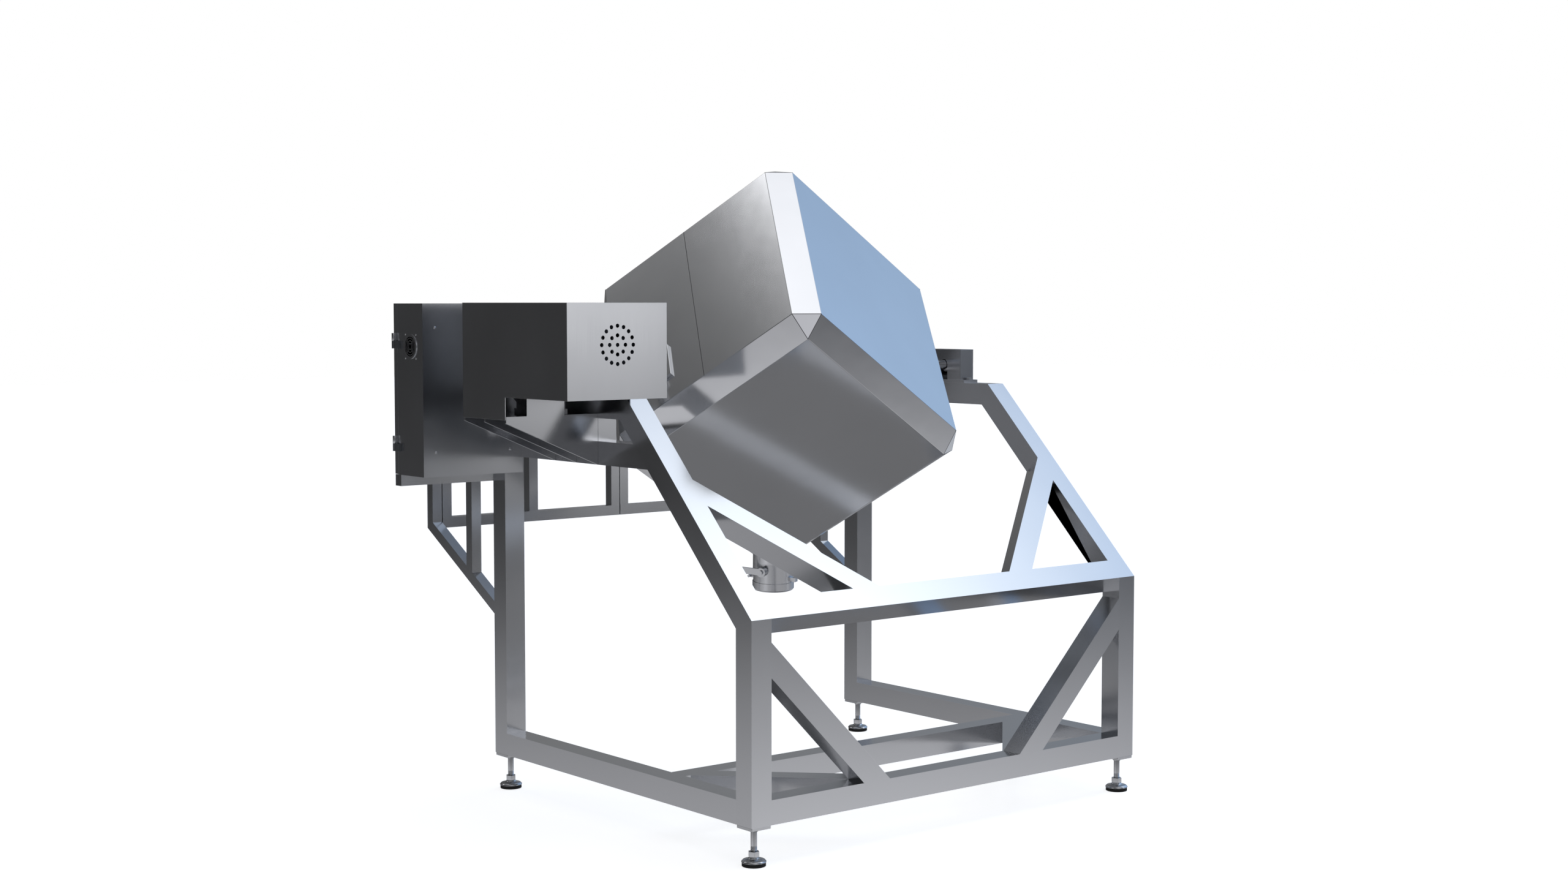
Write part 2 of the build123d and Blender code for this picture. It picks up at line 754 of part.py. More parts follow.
def bearing_block(x):
    """A short pillow block: foot, ring housing, and bore for the bearing insert."""
    foot_z = beam_top + plate_thickness
    foot = block((x - block_width / 2, x + block_width / 2),
                 (shaft_y - block_length / 2, shaft_y + block_length / 2), (foot_z, foot_z + 15))
    housing_radius = bearing_outer_diameter / 2 + 8
    housing = rod((x - block_width / 2 + 5, shaft_y, shaft_z), (1, 0, 0), block_width - 10, housing_radius)
    web = block((x - block_width / 2 + 5, x + block_width / 2 - 5),
                (shaft_y - housing_radius, shaft_y + housing_radius), (foot_z, shaft_z - 12))
    bore = rod((x - block_width / 2, shaft_y, shaft_z), (1, 0, 0), block_width, bearing_outer_diameter / 2)
    return foot + housing + web - bore


def x_ring(x, width, outer, inner):
    return ring(Plane(origin=(x, shaft_y, shaft_z), z_dir=(1, 0, 0)), outer, inner, -width / 2, width / 2)


def outer_ring(x):
    return x_ring(x, outer_ring_width, bearing_outer_diameter / 2, inner_ring_radius + running_clearance)


def inner_ring(x):
    return x_ring(x, inner_ring_width, inner_ring_radius, shaft_radius)


def bearing_cover():
    """A folded sheet hood over the right bearing, slotted for the shaft."""
    x = (right_bearing_x - plate_width / 2, right_bearing_x + plate_width / 2 - 2)
    y = (shaft_y + 14.5 - bearing_cover_length / 2 - 14.5, shaft_y + bearing_cover_length / 2)
    z = (beam_top + plate_thickness, beam_top + plate_thickness + bearing_cover_height)
    outer = block(x, y, z)
    inner = block((x[0] + sheet, x[1] - sheet), (y[0] + sheet, y[1] - sheet), (z[0], z[1] - sheet))
    hood = outer - inner
    slot_y = (shaft_y - bearing_cover_slot / 2, shaft_y + bearing_cover_slot / 2)
    slot = block((x[0], x[0] + sheet), slot_y, (z[0], shaft_z))
    slot += rod((x[0], shaft_y, shaft_z), (1, 0, 0), sheet, bearing_cover_slot / 2)
    return hood - slot


# Worm gearbox

pitch_radius = gear_module * wheel_teeth / 2
worm_pitch_radius = gear_centre_distance - pitch_radius
thread_pitch = pi * gear_module
addendum = gear_module
dedendum = 1.2 * gear_module
pressure = radians(20)
worm_root_radius = worm_pitch_radius - dedendum
wheel_tip_radius = pitch_radius + addendum
wheel_root_radius = pitch_radius - dedendum
gear_cavity_radius = wheel_tip_radius + 3
gear_housing_radius = gear_cavity_radius + gear_housing_wall
barrel_bore = worm_pitch_radius + addendum + 2
barrel_radius = barrel_bore + gear_housing_wall + 2
barrel_half = gear_housing_radius
lead_shift = wheel_width / 2 * thread_pitch / (2 * pi * worm_pitch_radius)


def worm_shaft():
    """A single-start worm cut on the shaft that also carries the rotor and fan."""
    facets = 16
    turns = int(worm_length / thread_pitch * facets)
    tip = worm_pitch_radius + addendum
    root = worm_root_radius - 1
    half_root = thread_pitch / 4 + (worm_pitch_radius - root) * tan(pressure) - tooth_backlash
    half_tip = thread_pitch / 4 - addendum * tan(pressure) - tooth_backlash

    def thread_section(step):
        angle = 2 * pi * step / facets
        along = thread_pitch * step / facets
        points = []
        for radius, width in ((root, half_root), (tip, half_tip)):
            for edge in (-width, width):
                points.append((radius * sin(angle), along + edge, -radius * cos(angle)))
        return points

    start = -(turns // 2)
    thread = [ConvexPolyhedron(thread_section(s) + thread_section(s + 1)) for s in range(start, start + turns)]
    core = rod((0, -worm_length / 2 - 8, 0), (0, 1, 0), worm_length + 16, worm_root_radius)
    tail_end = fan_y - fan_width / 2 - 4 - shaft_y
    tail = rod((0, tail_end, 0), (0, 1, 0), -worm_length / 2 - 8 - tail_end, worm_shaft_diameter / 2)
    nose = rod((0, worm_length / 2 + 8, 0), (0, 1, 0), barrel_half - worm_length / 2 - 12, worm_shaft_diameter / 2)
    return Pos(drive_x, shaft_y, worm_z) * (core + thread + tail + nose)


def worm_wheel():
    """A bronze wheel with thirty involute teeth set at the worm's lead, on a bored hub."""
    base_radius = pitch_radius * cos(pressure)
    involute_at_pitch = tan(pressure) - pressure
    half_tooth = pi / (2 * wheel_teeth) - tooth_backlash / pitch_radius
    twist = lead_shift / pitch_radius

    def tooth(number):
        points = []
        for x, turn in ((-wheel_width / 2, -twist), (wheel_width / 2, twist)):
            middle = 2 * pi * (number + 0.5) / wheel_teeth + turn
            for radius in (wheel_root_radius - 2, base_radius, pitch_radius, wheel_tip_radius):
                open_angle = acos(min(1, base_radius / radius))
                spread = half_tooth + involute_at_pitch - (tan(open_angle) - open_angle)
                for side in (-spread, spread):
                    points.append((x, radius * sin(middle + side), radius * cos(middle + side)))
        return ConvexPolyhedron(points)

    rim = rod((-wheel_width / 2, 0, 0), (1, 0, 0), wheel_width, wheel_root_radius)
    hub = rod((-gear_half_width - 2, 0, 0), (1, 0, 0), 2 * gear_half_width + 4, wheel_hub_diameter / 2)
    bore = rod((-gear_half_width - 2, 0, 0), (1, 0, 0), 2 * gear_half_width + 4, shaft_radius)
    wheel = rim + hub + [tooth(n) for n in range(wheel_teeth)] - bore
    return Pos(drive_x, shaft_y, shaft_z) * wheel


def gearbox_housing():
    """The cast case: wheel drum, worm barrel above it and a foot on the platform."""
    x = (drive_x - gear_cavity_width / 2, drive_x + gear_cavity_width / 2)
    drum_part = rod((x[0], shaft_y, shaft_z), (1, 0, 0), gear_cavity_width, gear_housing_radius)
    barrel = rod((drive_x, shaft_y - barrel_half, worm_z), (0, 1, 0), 2 * barrel_half, barrel_radius)
    foot = block(x, (shaft_y - gear_foot_length / 2, shaft_y + gear_foot_length / 2),
                 (platform_top, platform_top + 14))
    legs = block(x, (shaft_y - 48, shaft_y + 48), (platform_top, shaft_z - 40))
    cavity = rod((x[0], shaft_y, shaft_z), (1, 0, 0), gear_cavity_width, gear_cavity_radius)
    worm_bore = rod((drive_x, shaft_y - barrel_half, worm_z), (0, 1, 0), 2 * barrel_half, barrel_bore)
    return drum_part + barrel + foot + legs - cavity - worm_bore


def gearbox_covers():
    """Two side covers round the wheel's hub and one cap behind the worm."""
    pieces = []
    for side in (-1, 1):
        plane = Plane(origin=(drive_x + side * gear_cavity_width / 2, shaft_y, shaft_z), z_dir=(side, 0, 0))
        inner = wheel_hub_diameter / 2 + running_clearance
        pieces.append(ring(plane, gear_housing_radius, inner, 0, gear_cover_thickness))
    cap = rod((drive_x, shaft_y + barrel_half, worm_z), (0, 1, 0), 5, barrel_radius)
    return pieces + [cap]


# Motor

motor_front_y = shaft_y - barrel_half
motor_body_y = motor_front_y - motor_flange_thickness
motor_rear_y = motor_body_y - motor_length
fan_y = motor_rear_y - motor_flange_thickness - 6 - fan_width / 2
cowl_front_y = fan_y + fan_width / 2 - cowl_length + 24


def y_ring(start_y, end_y, outer, inner):
    plane = Plane(origin=(drive_x, 0, worm_z), x_dir=(1, 0, 0), z_dir=(0, 1, 0))
    return ring(plane, outer, inner, start_y, end_y)


def motor_housing():
    """The finned stator case and its two end shields."""
    bore = worm_shaft_diameter / 2 + running_clearance
    case = y_ring(motor_rear_y, motor_body_y, motor_radius, rotor_radius + free_clearance)
    front = y_ring(motor_body_y, motor_front_y, motor_flange_radius, bore)
    rear = y_ring(motor_rear_y - motor_flange_thickness, motor_rear_y, motor_radius, bore)
    return [case, front, rear, terminal_box()]


def motor_rotor():
    middle = (motor_body_y + motor_rear_y) / 2
    return y_ring(middle - rotor_length / 2, middle + rotor_length / 2, rotor_radius, worm_shaft_diameter / 2)


def motor_fan():
    """A hub with flat radial blades and a back plate."""
    hub = y_ring(fan_y - fan_width / 2, fan_y + fan_width / 2, worm_shaft_diameter / 2 + 8, worm_shaft_diameter / 2)
    back = y_ring(fan_y + fan_width / 2 - 2, fan_y + fan_width / 2, fan_radius, worm_shaft_diameter / 2)
    fan = hub + back
    for n in range(fan_blades):
        blade = block((worm_shaft_diameter / 2 + 6, fan_radius), (-fan_width / 2, fan_width / 2), (-1, 1))
        fan += Pos(drive_x, fan_y, worm_z) * Rot(0, 360 / fan_blades * n, 0) * blade
    return fan


def motor_cowl():
    """A sheet cup over the fan with a ring of inlet holes."""
    rear = motor_rear_y - motor_flange_thickness
    outer = motor_radius + sheet
    wall = y_ring(cowl_front_y, rear + motor_flange_thickness, outer, motor_radius)
    face = y_ring(cowl_front_y - sheet, cowl_front_y, outer, 0)
    for radius, count in ((20, 6), (36, 10), (52, 14)):
        for n in range(count):
            angle = 2 * pi * n / count
            place = (drive_x + radius * cos(angle), cowl_front_y - sheet, worm_z + radius * sin(angle))
            face -= rod(place, (0, 1, 0), sheet, 5)
    return wall + face


def terminal_box():
    y = (motor_body_y - 100, motor_body_y - 20)
    x = (drive_x - motor_radius - 34, drive_x - motor_radius + 14)
    box = block(x, y, (worm_z - 38, worm_z + 38))
    box = fillet(box.edges().filter_by(Axis.X), 6)
    return box - y_ring(y[0], y[1], motor_radius, 0)


# Drive bracket and cover

def drive_gussets():
    """Three plates welded to the left beams; the front one rises in a tab that carries the cover."""
    post_face = -half
    tip = cover_left_x + sheet
    low = [(post_face, gusset_root_z), (tip, gusset_tip_z)]
    top = platform_top
    front = low + [(tip, top), (tab_left_x, top), (tab_left_x, beam_top), (tab_right_x, beam_top),
                   (tab_right_x, top), (post_face, top)]
    middle_top = top - gusset_thickness
    middle = low + [(tip, middle_top), (post_face, middle_top)]
    rear = low + [(tip, top), (post_face, top)]
    places = ((gusset_front_y, front), (gusset_mid_y, middle), (cover_rear_y - gusset_thickness, rear))
    plates = []
    for y, outline in places:
        wire = Polyline(*[(x, z) for x, z in outline], close=True)
        face = Plane(origin=(0, y, 0), x_dir=(1, 0, 0), z_dir=(0, -1, 0)) * make_face(wire)
        plates.append(extrude(face, amount=-gusset_thickness))
    return plates


def drive_platform():
    y = (gusset_front_y + gusset_thickness, cover_rear_y - gusset_thickness)
    return block((cover_left_x + sheet, -half), y, (platform_top - gusset_thickness, platform_top))


def vent_holes():
    cutter = []
    for diameter, count in ((vent_outer_circle, 16), (vent_inner_circle, 8), (0, 1)):
        for n in range(count):
            angle = 2 * pi * n / count
            x = drive_x + diameter / 2 * cos(angle)
            z = worm_z + diameter / 2 * sin(angle)
            cutter.append(rod((x, cover_front_y, z), (0, 1, 0), sheet, vent_hole / 2))
    return cutter


def drive_cover():
    """A folded hood open below, stepped down behind to the platform and notched for the bearing."""
    x, y = (cover_left_x, cover_right_x), (cover_front_y, cover_rear_y)
    hood = block(x, y, (beam_top, cover_top))
    hood -= block((x[0] + sheet, x[1] - sheet), (y[0] + sheet, y[1] - sheet), (beam_top, cover_top - sheet))
    skirt = block((x[0], x[0] + sheet), (cover_step_y, y[1]), (cover_step_z, beam_top))
    apron = block((x[0] + sheet, -half), (y[1] - sheet, y[1]), (platform_top, beam_top))
    notch_y = (shaft_y - plate_length / 2 - 3, shaft_y + plate_length / 2 + 3)
    notch = block((x[1] - sheet, x[1]), notch_y, (beam_top, beam_top + plate_thickness + 18))
    housing = bearing_outer_diameter / 2 + 8 + 5
    notch += rod((x[1] - sheet, shaft_y, shaft_z), (1, 0, 0), sheet, housing)
    notch += block((x[1] - sheet, x[1]), (shaft_y - housing, shaft_y + housing), (beam_top, shaft_z))
    return hood + skirt + apron - vent_holes() - notch


# Control cabinet

cabinet_left_x = -half - cabinet_width
cabinet_top = cabinet_bottom + cabinet_height
door_front_y = cabinet_rear_y - door_depth
fan_place = (cabinet_left_x, cabinet_front_y + 62, cabinet_bottom + 338)
grille_radius = 28.0


def cabinet_body():
    """A box open at the rear, with a return lip round the opening and a fan hole in its side."""
    x, y, z = (cabinet_left_x, -half), (cabinet_front_y, door_front_y - 1), (cabinet_bottom, cabinet_top)
    t, lip = cabinet_sheet, cabinet_lip
    shell = block(x, y, z) - block((x[0] + t, x[1] - t), (y[0] + t, y[1] - t), (z[0] + t, z[1] - t))
    shell -= block((x[0] + lip, x[1] - lip), (y[1] - t, y[1]), (z[0] + lip, z[1] - lip))
    return shell - rod(fan_place, (1, 0, 0), t, grille_radius)


def cabinet_grille():
    """Wire rings on four spokes, in front of the fan hole."""
    plane = Plane(origin=fan_place, z_dir=(-1, 0, 0))
    guard = ring(plane, grille_radius + 4, grille_radius - 2, 0, 2)
    for radius in (8, 15, 22):
        guard += ring(plane, radius + 1, radius - 1, 0, 2)
    for n in range(4):
        guard += plane.location * Rot(0, 0, 45 + 90 * n) * block((6, grille_radius), (-1, 1), (0, 2))
    return guard


def cabinet_door():
    """A tray-shaped door with rolled sides and hinge knuckles."""
    x = (cabinet_left_x, -half - door_gap)
    y, z = (door_front_y, cabinet_rear_y), (cabinet_bottom + 1, cabinet_top)
    t = cabinet_sheet
    tray = block(x, y, z) - block((x[0] + t, x[1] - t), (y[0], y[1] - t), (z[0] + t, z[1] - t))
    for place_x, place_z, radius in door_holes:
        tray -= rod((place_x, y[0], place_z), (0, 1, 0), door_depth, radius)
    knuckles = []
    for z0 in door_hinge_levels:
        upper = rod((door_pin_x, door_pin_y, z0 + 0.3), (0, 0, 1), 20, 5)
        leaf = block((door_pin_x, x[0]), (door_pin_y - 2, door_pin_y + 2), (z0 + 0.3, z0 + 20.3))
        bore = rod((door_pin_x, door_pin_y, z0), (0, 0, 1), 24, 2.5 + running_clearance)
        knuckles.append(upper + leaf - bore)
    return tray + knuckles


door_pin_x = cabinet_left_x - 6
door_pin_y = door_front_y + 9
door_hinge_levels = (cabinet_bottom + 82, cabinet_bottom + 352)
control_x = cabinet_left_x + control_inset
control_y = cabinet_rear_y
controls = {
    "main_switch": (control_x, cabinet_top - upper_controls_drop, 11.0),
    "emergency_stop": (control_x + control_pitch, cabinet_top - upper_controls_drop, 11.0),
    "start_button": (control_x, cabinet_top - lower_controls_drop, 11.0),
    "stop_button": (control_x + control_pitch, cabinet_top - lower_controls_drop, 11.0),
    "door_lock": (-half - door_gap - lock_inset, cabinet_bottom + cabinet_height / 2, 11.0),
}
door_holes = list(controls.values())


def cabinet_hinges():
    """Lower knuckles and pins, fixed to the cabinet's side."""
    pieces = []
    for z0 in door_hinge_levels:
        lower = rod((door_pin_x, door_pin_y, z0 - 20), (0, 0, 1), 20, 5)
        strap = block((door_pin_x - 2, door_pin_x + 2), (door_front_y - 16, door_pin_y), (z0 - 20, z0))
        root = block((door_pin_x - 2, cabinet_left_x), (door_front_y - 16, door_front_y - 3), (z0 - 20, z0))
        pin = rod((door_pin_x, door_pin_y, z0 - 20), (0, 0, 1), 38, 2.5)
        pieces.append(lower + strap + root + pin)
    return pieces


def control_bushes():
    """The fixed sleeves of the switch, buttons and lock in the door."""
    pieces = []
    for name, (x, z, radius) in controls.items():
        plane = Plane(origin=(x, control_y, z), x_dir=(1, 0, 0), z_dir=(0, 1, 0))
        sleeve = ring(plane, radius, radius - 3, -door_depth - 8, 0)
        collar = ring(plane, radius + 3, radius - 3, 0, 3)
        pieces.append(sleeve + collar)
    return pieces


def y_disc(name, start, end, radius):
    x, z, _ = controls[name]
    return rod((x, control_y + start, z), (0, 1, 0), end - start, radius)


def main_switch():
    x, z, radius = controls["main_switch"]
    grip = block((x - 4, x + 4), (control_y + 14, control_y + 24), (z - 14, z + 14))
    knob = y_disc("main_switch", 3.4, 14, 15) + grip
    return knob + y_disc("main_switch", -12, 3.4, radius - 3 - running_clearance)


def emergency_stop():
    radius = controls["emergency_stop"][2] - 3 - running_clearance
    return y_disc("emergency_stop", 12, 24, 20) + y_disc("emergency_stop", -12, 12, radius)


def push_button(name):
    return y_disc(name, -12, 8, controls[name][2] - 3 - running_clearance)


def door_lock():
    """A quarter-turn lock: its head outside, its cam inside, parked upright."""
    x, z, radius = controls["door_lock"]
    core = y_disc("door_lock", -door_depth - 12, 4, radius - 3 - running_clearance)
    cam_y = (control_y - door_depth - 12, control_y - door_depth - 9)
    cam = block((x - 7, x + 7), cam_y, (z - 8, z + 21))
    return core + cam - block((x - 1, x + 1), (control_y + 1, control_y + 4), (z - 5, z + 5))


def cabinet_plate():
    """Mounting plate with an inverter and a rail of terminals."""
    y0 = cabinet_front_y + cabinet_sheet + 8
    x = (cabinet_left_x + 20, -half - 20)
    plate = block(x, (y0, y0 + 2), (cabinet_bottom + 20, cabinet_top - 20))
    studs = [rod((px, cabinet_front_y + cabinet_sheet, pz), (0, 1, 0), 8, 4)
             for px in (x[0] + 12, x[1] - 12) for pz in (cabinet_bottom + 32, cabinet_top - 32)]
    inverter_x, inverter_top = x[0] + 96, cabinet_top - 80
    inverter = block((inverter_x, inverter_x + inverter_width), (y0 + 2, y0 + 2 + inverter_depth),
                     (inverter_top - inverter_height, inverter_top))
    rail = block((x[0] + 20, x[1] - 20), (y0 + 2, y0 + 10), (cabinet_bottom + 90, cabinet_bottom + 125))
    terminals = block((x[0] + 40, x[1] - 60), (y0 + 10, y0 + 50), (cabinet_bottom + 80, cabinet_bottom + 135))
    return [plate] + studs + [inverter, rail, terminals]


# Guard gate

opening_width = (right_x - half) - (-half + gate_tube)
leaf_width = (opening_width - 3 * gate_gap) / 2
left_leaf_x = -half + gate_tube + gate_gap
right_leaf_x = left_leaf_x + leaf_width + gate_gap
gate_pin_y = gate_rear_y + knuckle_diameter / 2 + 1
left_pin_x = left_leaf_x - gate_gap / 2
right_pin_x = right_leaf_x + leaf_width + gate_gap / 2
gate_hinge_levels = (gate_bottom + gate_hinge_inset, gate_top - gate_hinge_inset)
bolt_z = (gate_bottom + gate_top) / 2
bolt_y = gate_rear_y + 11


def gate_tubes(x0):
    """Two rails with three uprights between them."""
    g = gate_tube
    pieces = []
    for z in (gate_bottom + g / 2, gate_top - g / 2):
        pieces.append(bar((x0, gate_y, z), (x0 + leaf_width, gate_y, z), (0, 1, 0), (), g, gate_tube_wall))
    for x in (x0 + g / 2, x0 + leaf_width / 2, x0 + leaf_width - g / 2):
        pieces.append(bar((x, gate_y, gate_bottom + g), (x, gate_y, gate_top - g), (1, 0, 0), (), g, gate_tube_wall))
    return pieces


def leaf_knuckles(pin_x, inward):
    pieces = []
    for z in gate_hinge_levels:
        barrel = rod((pin_x, gate_pin_y, z + 0.3), (0, 0, 1), 30, knuckle_diameter / 2)
        near, far = pin_x + inward * gate_gap / 2, pin_x + inward * 24
        strap = block((min(near, far), max(near, far)), (gate_rear_y, gate_rear_y + 6), (z + 0.3, z + 30.3))
        bore = rod((pin_x, gate_pin_y, z), (0, 0, 1), 34, gate_pin_diameter / 2 + running_clearance)
        pieces.append(barrel + strap - bore)
    return pieces


def gate_hinges():
    """Lower knuckles with their pins, welded to the brackets' end uprights."""
    pieces = []
    for pin_x, inward in ((left_pin_x, 1), (right_pin_x, -1)):
        for z in gate_hinge_levels:
            barrel = rod((pin_x, gate_pin_y, z - 30), (0, 0, 1), 30, knuckle_diameter / 2)
            near, far = pin_x - inward * gate_gap / 2 * 3, pin_x - inward * 24
            strap = block((min(near, far), max(near, far)), (gate_rear_y, gate_rear_y + 6), (z - 30, z))
            pin = rod((pin_x, gate_pin_y, z - 30), (0, 0, 1), 58, gate_pin_diameter / 2)
            pieces.append(barrel + strap + pin)
    return pieces


def bolt_guide(x, length):
    """A bored block on the rear of a meeting stile."""
    return block((x, x + length), (gate_rear_y, gate_rear_y + 22), (bolt_z - 11, bolt_z + 11))


meeting_x = left_leaf_x + leaf_width


def gate_leaf_left():
    guide = bolt_guide(meeting_x - 26, 24)
    guide -= rod((meeting_x - 26, bolt_y, bolt_z), (1, 0, 0), 24, bolt_diameter / 2 + running_clearance)
    return gate_tubes(left_leaf_x) + leaf_knuckles(left_pin_x, 1) + [guide]


def gate_leaf_right():
    keeper = bolt_guide(right_leaf_x + 2, 20)
    keeper -= rod((right_leaf_x + 2, bolt_y, bolt_z), (1, 0, 0), 20, bolt_diameter / 2 + free_clearance)
    return gate_tubes(right_leaf_x) + leaf_knuckles(right_pin_x, -1) + [keeper]


def gate_bolt():
    start = meeting_x - 26 - bolt_travel - 22
    shank = rod((start, bolt_y, bolt_z), (1, 0, 0), meeting_x - 2 - start, bolt_diameter / 2)
    knob = rod((start + 8, bolt_y, bolt_z), (0, 1, 0), 28, bolt_diameter / 2 - 1)
    return shank + knob


os.makedirs("parts", exist_ok=True)

save("frame_left_side", side_run(0) + [second_beam(), cabinet_support()])
save("frame_right_side", side_run(right_x))
save("frame_front", front_members())
save("frame_slope", slope_members())
save("frame_base", base_members())
save("bracket_left", bracket(bracket_left_x))
save("bracket_right", bracket(bracket_right_x))
save("post_caps", at_feet(post_cap_piece()))
save("foot_stems", at_feet(foot_stem()))
save("foot_nuts", at_feet(foot_nut()) + at_feet(foot_collar()))
save("foot_bases", at_feet(foot_base()))
save("foot_pads", at_feet(foot_pad()))

save("drum_panels", drum_panels())
save("drum_hatch_panel", [drum_hatch_panel()])
save("drum_edge_strips", drum_edge_strips())
save("drum_corner_plates", drum_corner_plates())
save("hub_pads", [hub_pad(-1), hub_pad(1)])
save("trunnion_left", [trunnion(-1, shaft_left_x)])
save("trunnion_right", [trunnion(1, shaft_right_x)])
save("hatch_neck", [hatch_neck()])
save("hatch_gasket", [hatch_gasket()])
save("hatch_lid", [hatch_lid(), hatch_handle()])
save("hatch_hinge", hatch_hinge() + [p for a in clamp_angles.values() for p in clamp_ears(a)])
for clamp_name, clamp_angle in clamp_angles.items():
    save(clamp_name, hatch_clamp(clamp_angle))

save("outlet_pipe", [outlet_pipe()])
save("valve_body", [valve_body()])
save("valve_seat", [valve_seat()])
save("valve_disc", [valve_disc()])
save("valve_handle", [valve_handle()])
save("outlet_ferrule", [outlet_ferrule()])
save("outlet_clamp", outlet_clamp())

bearing_places = (left_bearing_x, right_bearing_x)
save("bearing_plates", [p for x in bearing_places for p in [bearing_plate(x)] + plate_bolts(x)])
save("bearing_blocks", [bearing_block(x) for x in bearing_places])
save("bearing_outer_rings", [outer_ring(x) for x in bearing_places])
save("bearing_inner_rings", [inner_ring(x) for x in bearing_places])
save("bearing_cover", [bearing_cover()])

save("gearbox_housing", [gearbox_housing()])
save("gearbox_covers", gearbox_covers())
save("worm_wheel", [worm_wheel()])
save("worm_shaft", [worm_shaft()])
save("motor_housing", motor_housing())
save("motor_rotor", [motor_rotor()])
save("motor_fan", [motor_fan()])
save("motor_cowl", [motor_cowl()])
save("drive_bracket", drive_gussets() + [drive_platform()])
save("drive_cover", [drive_cover()])

save("cabinet_body", [cabinet_body(), cabinet_grille()])
save("cabinet_door", [cabinet_door()] + control_bushes())
save("cabinet_hinges", cabinet_hinges())
save("cabinet_plate", cabinet_plate())
save("main_switch", [main_switch()])
save("emergency_stop", [emergency_stop()])
save("start_button", [push_button("start_button")])
save("stop_button", [push_button("stop_button")])
save("door_lock", [door_lock()])

save("gate_leaf_left", gate_leaf_left())
save("gate_leaf_right", gate_leaf_right())
save("gate_hinges", gate_hinges())
save("gate_bolt", [gate_bolt()])

# Places that the joints need
print("shaft", drum_x, shaft_y, shaft_z)
print("worm", drive_x, shaft_y, worm_z)
print("hatch hinge", hatch.from_local_coords((hinge_x, 0, hinge_height)), hatch.y_dir)
for clamp_name, clamp_angle in clamp_angles.items():
    print(clamp_name, clamp_plane(clamp_angle).origin, clamp_plane(clamp_angle).y_dir)
print("valve", stem_line.origin, stem_line.x_dir, "outlet", centre + outlet_axis * outlet_end, outlet_axis)
print("gate pins", left_pin_x, right_pin_x, gate_pin_y, "bolt", bolt_z)
print("door pin", door_pin_x, door_pin_y, "controls", controls, control_y)
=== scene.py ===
import bpy, bmesh, json
from math import cos, pi, radians, sin, sqrt
from mathutils import Matrix, Vector

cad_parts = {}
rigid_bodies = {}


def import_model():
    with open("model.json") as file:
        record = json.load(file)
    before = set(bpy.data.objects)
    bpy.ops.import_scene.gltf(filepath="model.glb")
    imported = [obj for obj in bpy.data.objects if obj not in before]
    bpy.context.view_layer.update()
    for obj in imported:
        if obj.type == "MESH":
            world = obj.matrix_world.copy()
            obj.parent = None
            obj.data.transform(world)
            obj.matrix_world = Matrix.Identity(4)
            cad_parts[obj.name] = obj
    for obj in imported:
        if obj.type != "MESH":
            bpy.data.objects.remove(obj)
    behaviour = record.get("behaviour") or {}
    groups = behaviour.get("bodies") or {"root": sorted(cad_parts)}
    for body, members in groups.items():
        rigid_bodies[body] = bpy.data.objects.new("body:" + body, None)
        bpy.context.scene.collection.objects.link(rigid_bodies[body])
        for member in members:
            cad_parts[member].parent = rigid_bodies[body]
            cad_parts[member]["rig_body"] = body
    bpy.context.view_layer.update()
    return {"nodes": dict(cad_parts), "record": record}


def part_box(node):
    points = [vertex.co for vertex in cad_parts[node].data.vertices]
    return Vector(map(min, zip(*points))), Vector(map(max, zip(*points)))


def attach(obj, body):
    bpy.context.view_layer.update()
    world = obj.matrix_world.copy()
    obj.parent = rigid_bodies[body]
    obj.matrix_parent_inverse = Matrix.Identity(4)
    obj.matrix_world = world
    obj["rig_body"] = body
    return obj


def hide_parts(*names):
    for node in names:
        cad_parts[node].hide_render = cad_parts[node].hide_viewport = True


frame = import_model()
cad = frame["nodes"]
nodeSlot = {part["node"]: part["material_slot"] for part in frame["record"]["subparts"]}
scene = bpy.context.scene
scene.view_settings.view_transform = "Standard"
print("stage: frame loaded")

# Sizes and places are in mm.
# The camera, the floor, the finishes, merge distances and edge radii are in metres.

# Camera, room and floor

cameraSettings = {
    "place": (-3.15554, -3.98116, 1.33321), "down": 3.662, "turn": 39.207,  # where the photo was taken from
    "lens": 49.945, "sensor": 36.0, "reach": 60.0,
}


def makeCamera(s):
    data = bpy.data.cameras.new("camera")
    data.lens = s["lens"]
    data.sensor_width = s["sensor"]
    data.sensor_fit = "HORIZONTAL"
    data.clip_end = s["reach"]
    camera = bpy.data.objects.new("camera", data)
    camera.location = s["place"]
    camera.rotation_euler = (radians(90 - s["down"]), 0, -radians(s["turn"]))
    scene.collection.objects.link(camera)
    scene.camera = camera


makeCamera(cameraSettings)


def addNode(tree, kind, at=(0, 0), **values):
    node = tree.nodes.new(kind)
    node.location = at
    for key, value in values.items():
        setattr(node, key, value)
    return node


def joinTo(tree, source, target):
    tree.links.new(source, target)


def mathNode(tree, operation, a, b, c=None, at=(0, 0), clamp=False):  # each input is a number or a socket
    node = addNode(tree, "ShaderNodeMath", at, operation=operation, use_clamp=clamp)
    for i, value in enumerate((a, b, c)):
        if value is None:
            continue
        if isinstance(value, (int, float)):
            node.inputs[i].default_value = value
        else:
            joinTo(tree, value, node.inputs[i])
    return node.outputs[0]


def cameraOrRest(tree, rest, seen, at):  # the camera sees one shader, light and mirrors the other
    path = addNode(tree, "ShaderNodeLightPath", (at[0] - 250, at[1] + 300))
    mix = addNode(tree, "ShaderNodeMixShader", at)
    joinTo(tree, path.outputs["Is Camera Ray"], mix.inputs[0])
    joinTo(tree, rest.outputs[0], mix.inputs[1])
    joinTo(tree, seen.outputs[0], mix.inputs[2])
    return mix.outputs[0]


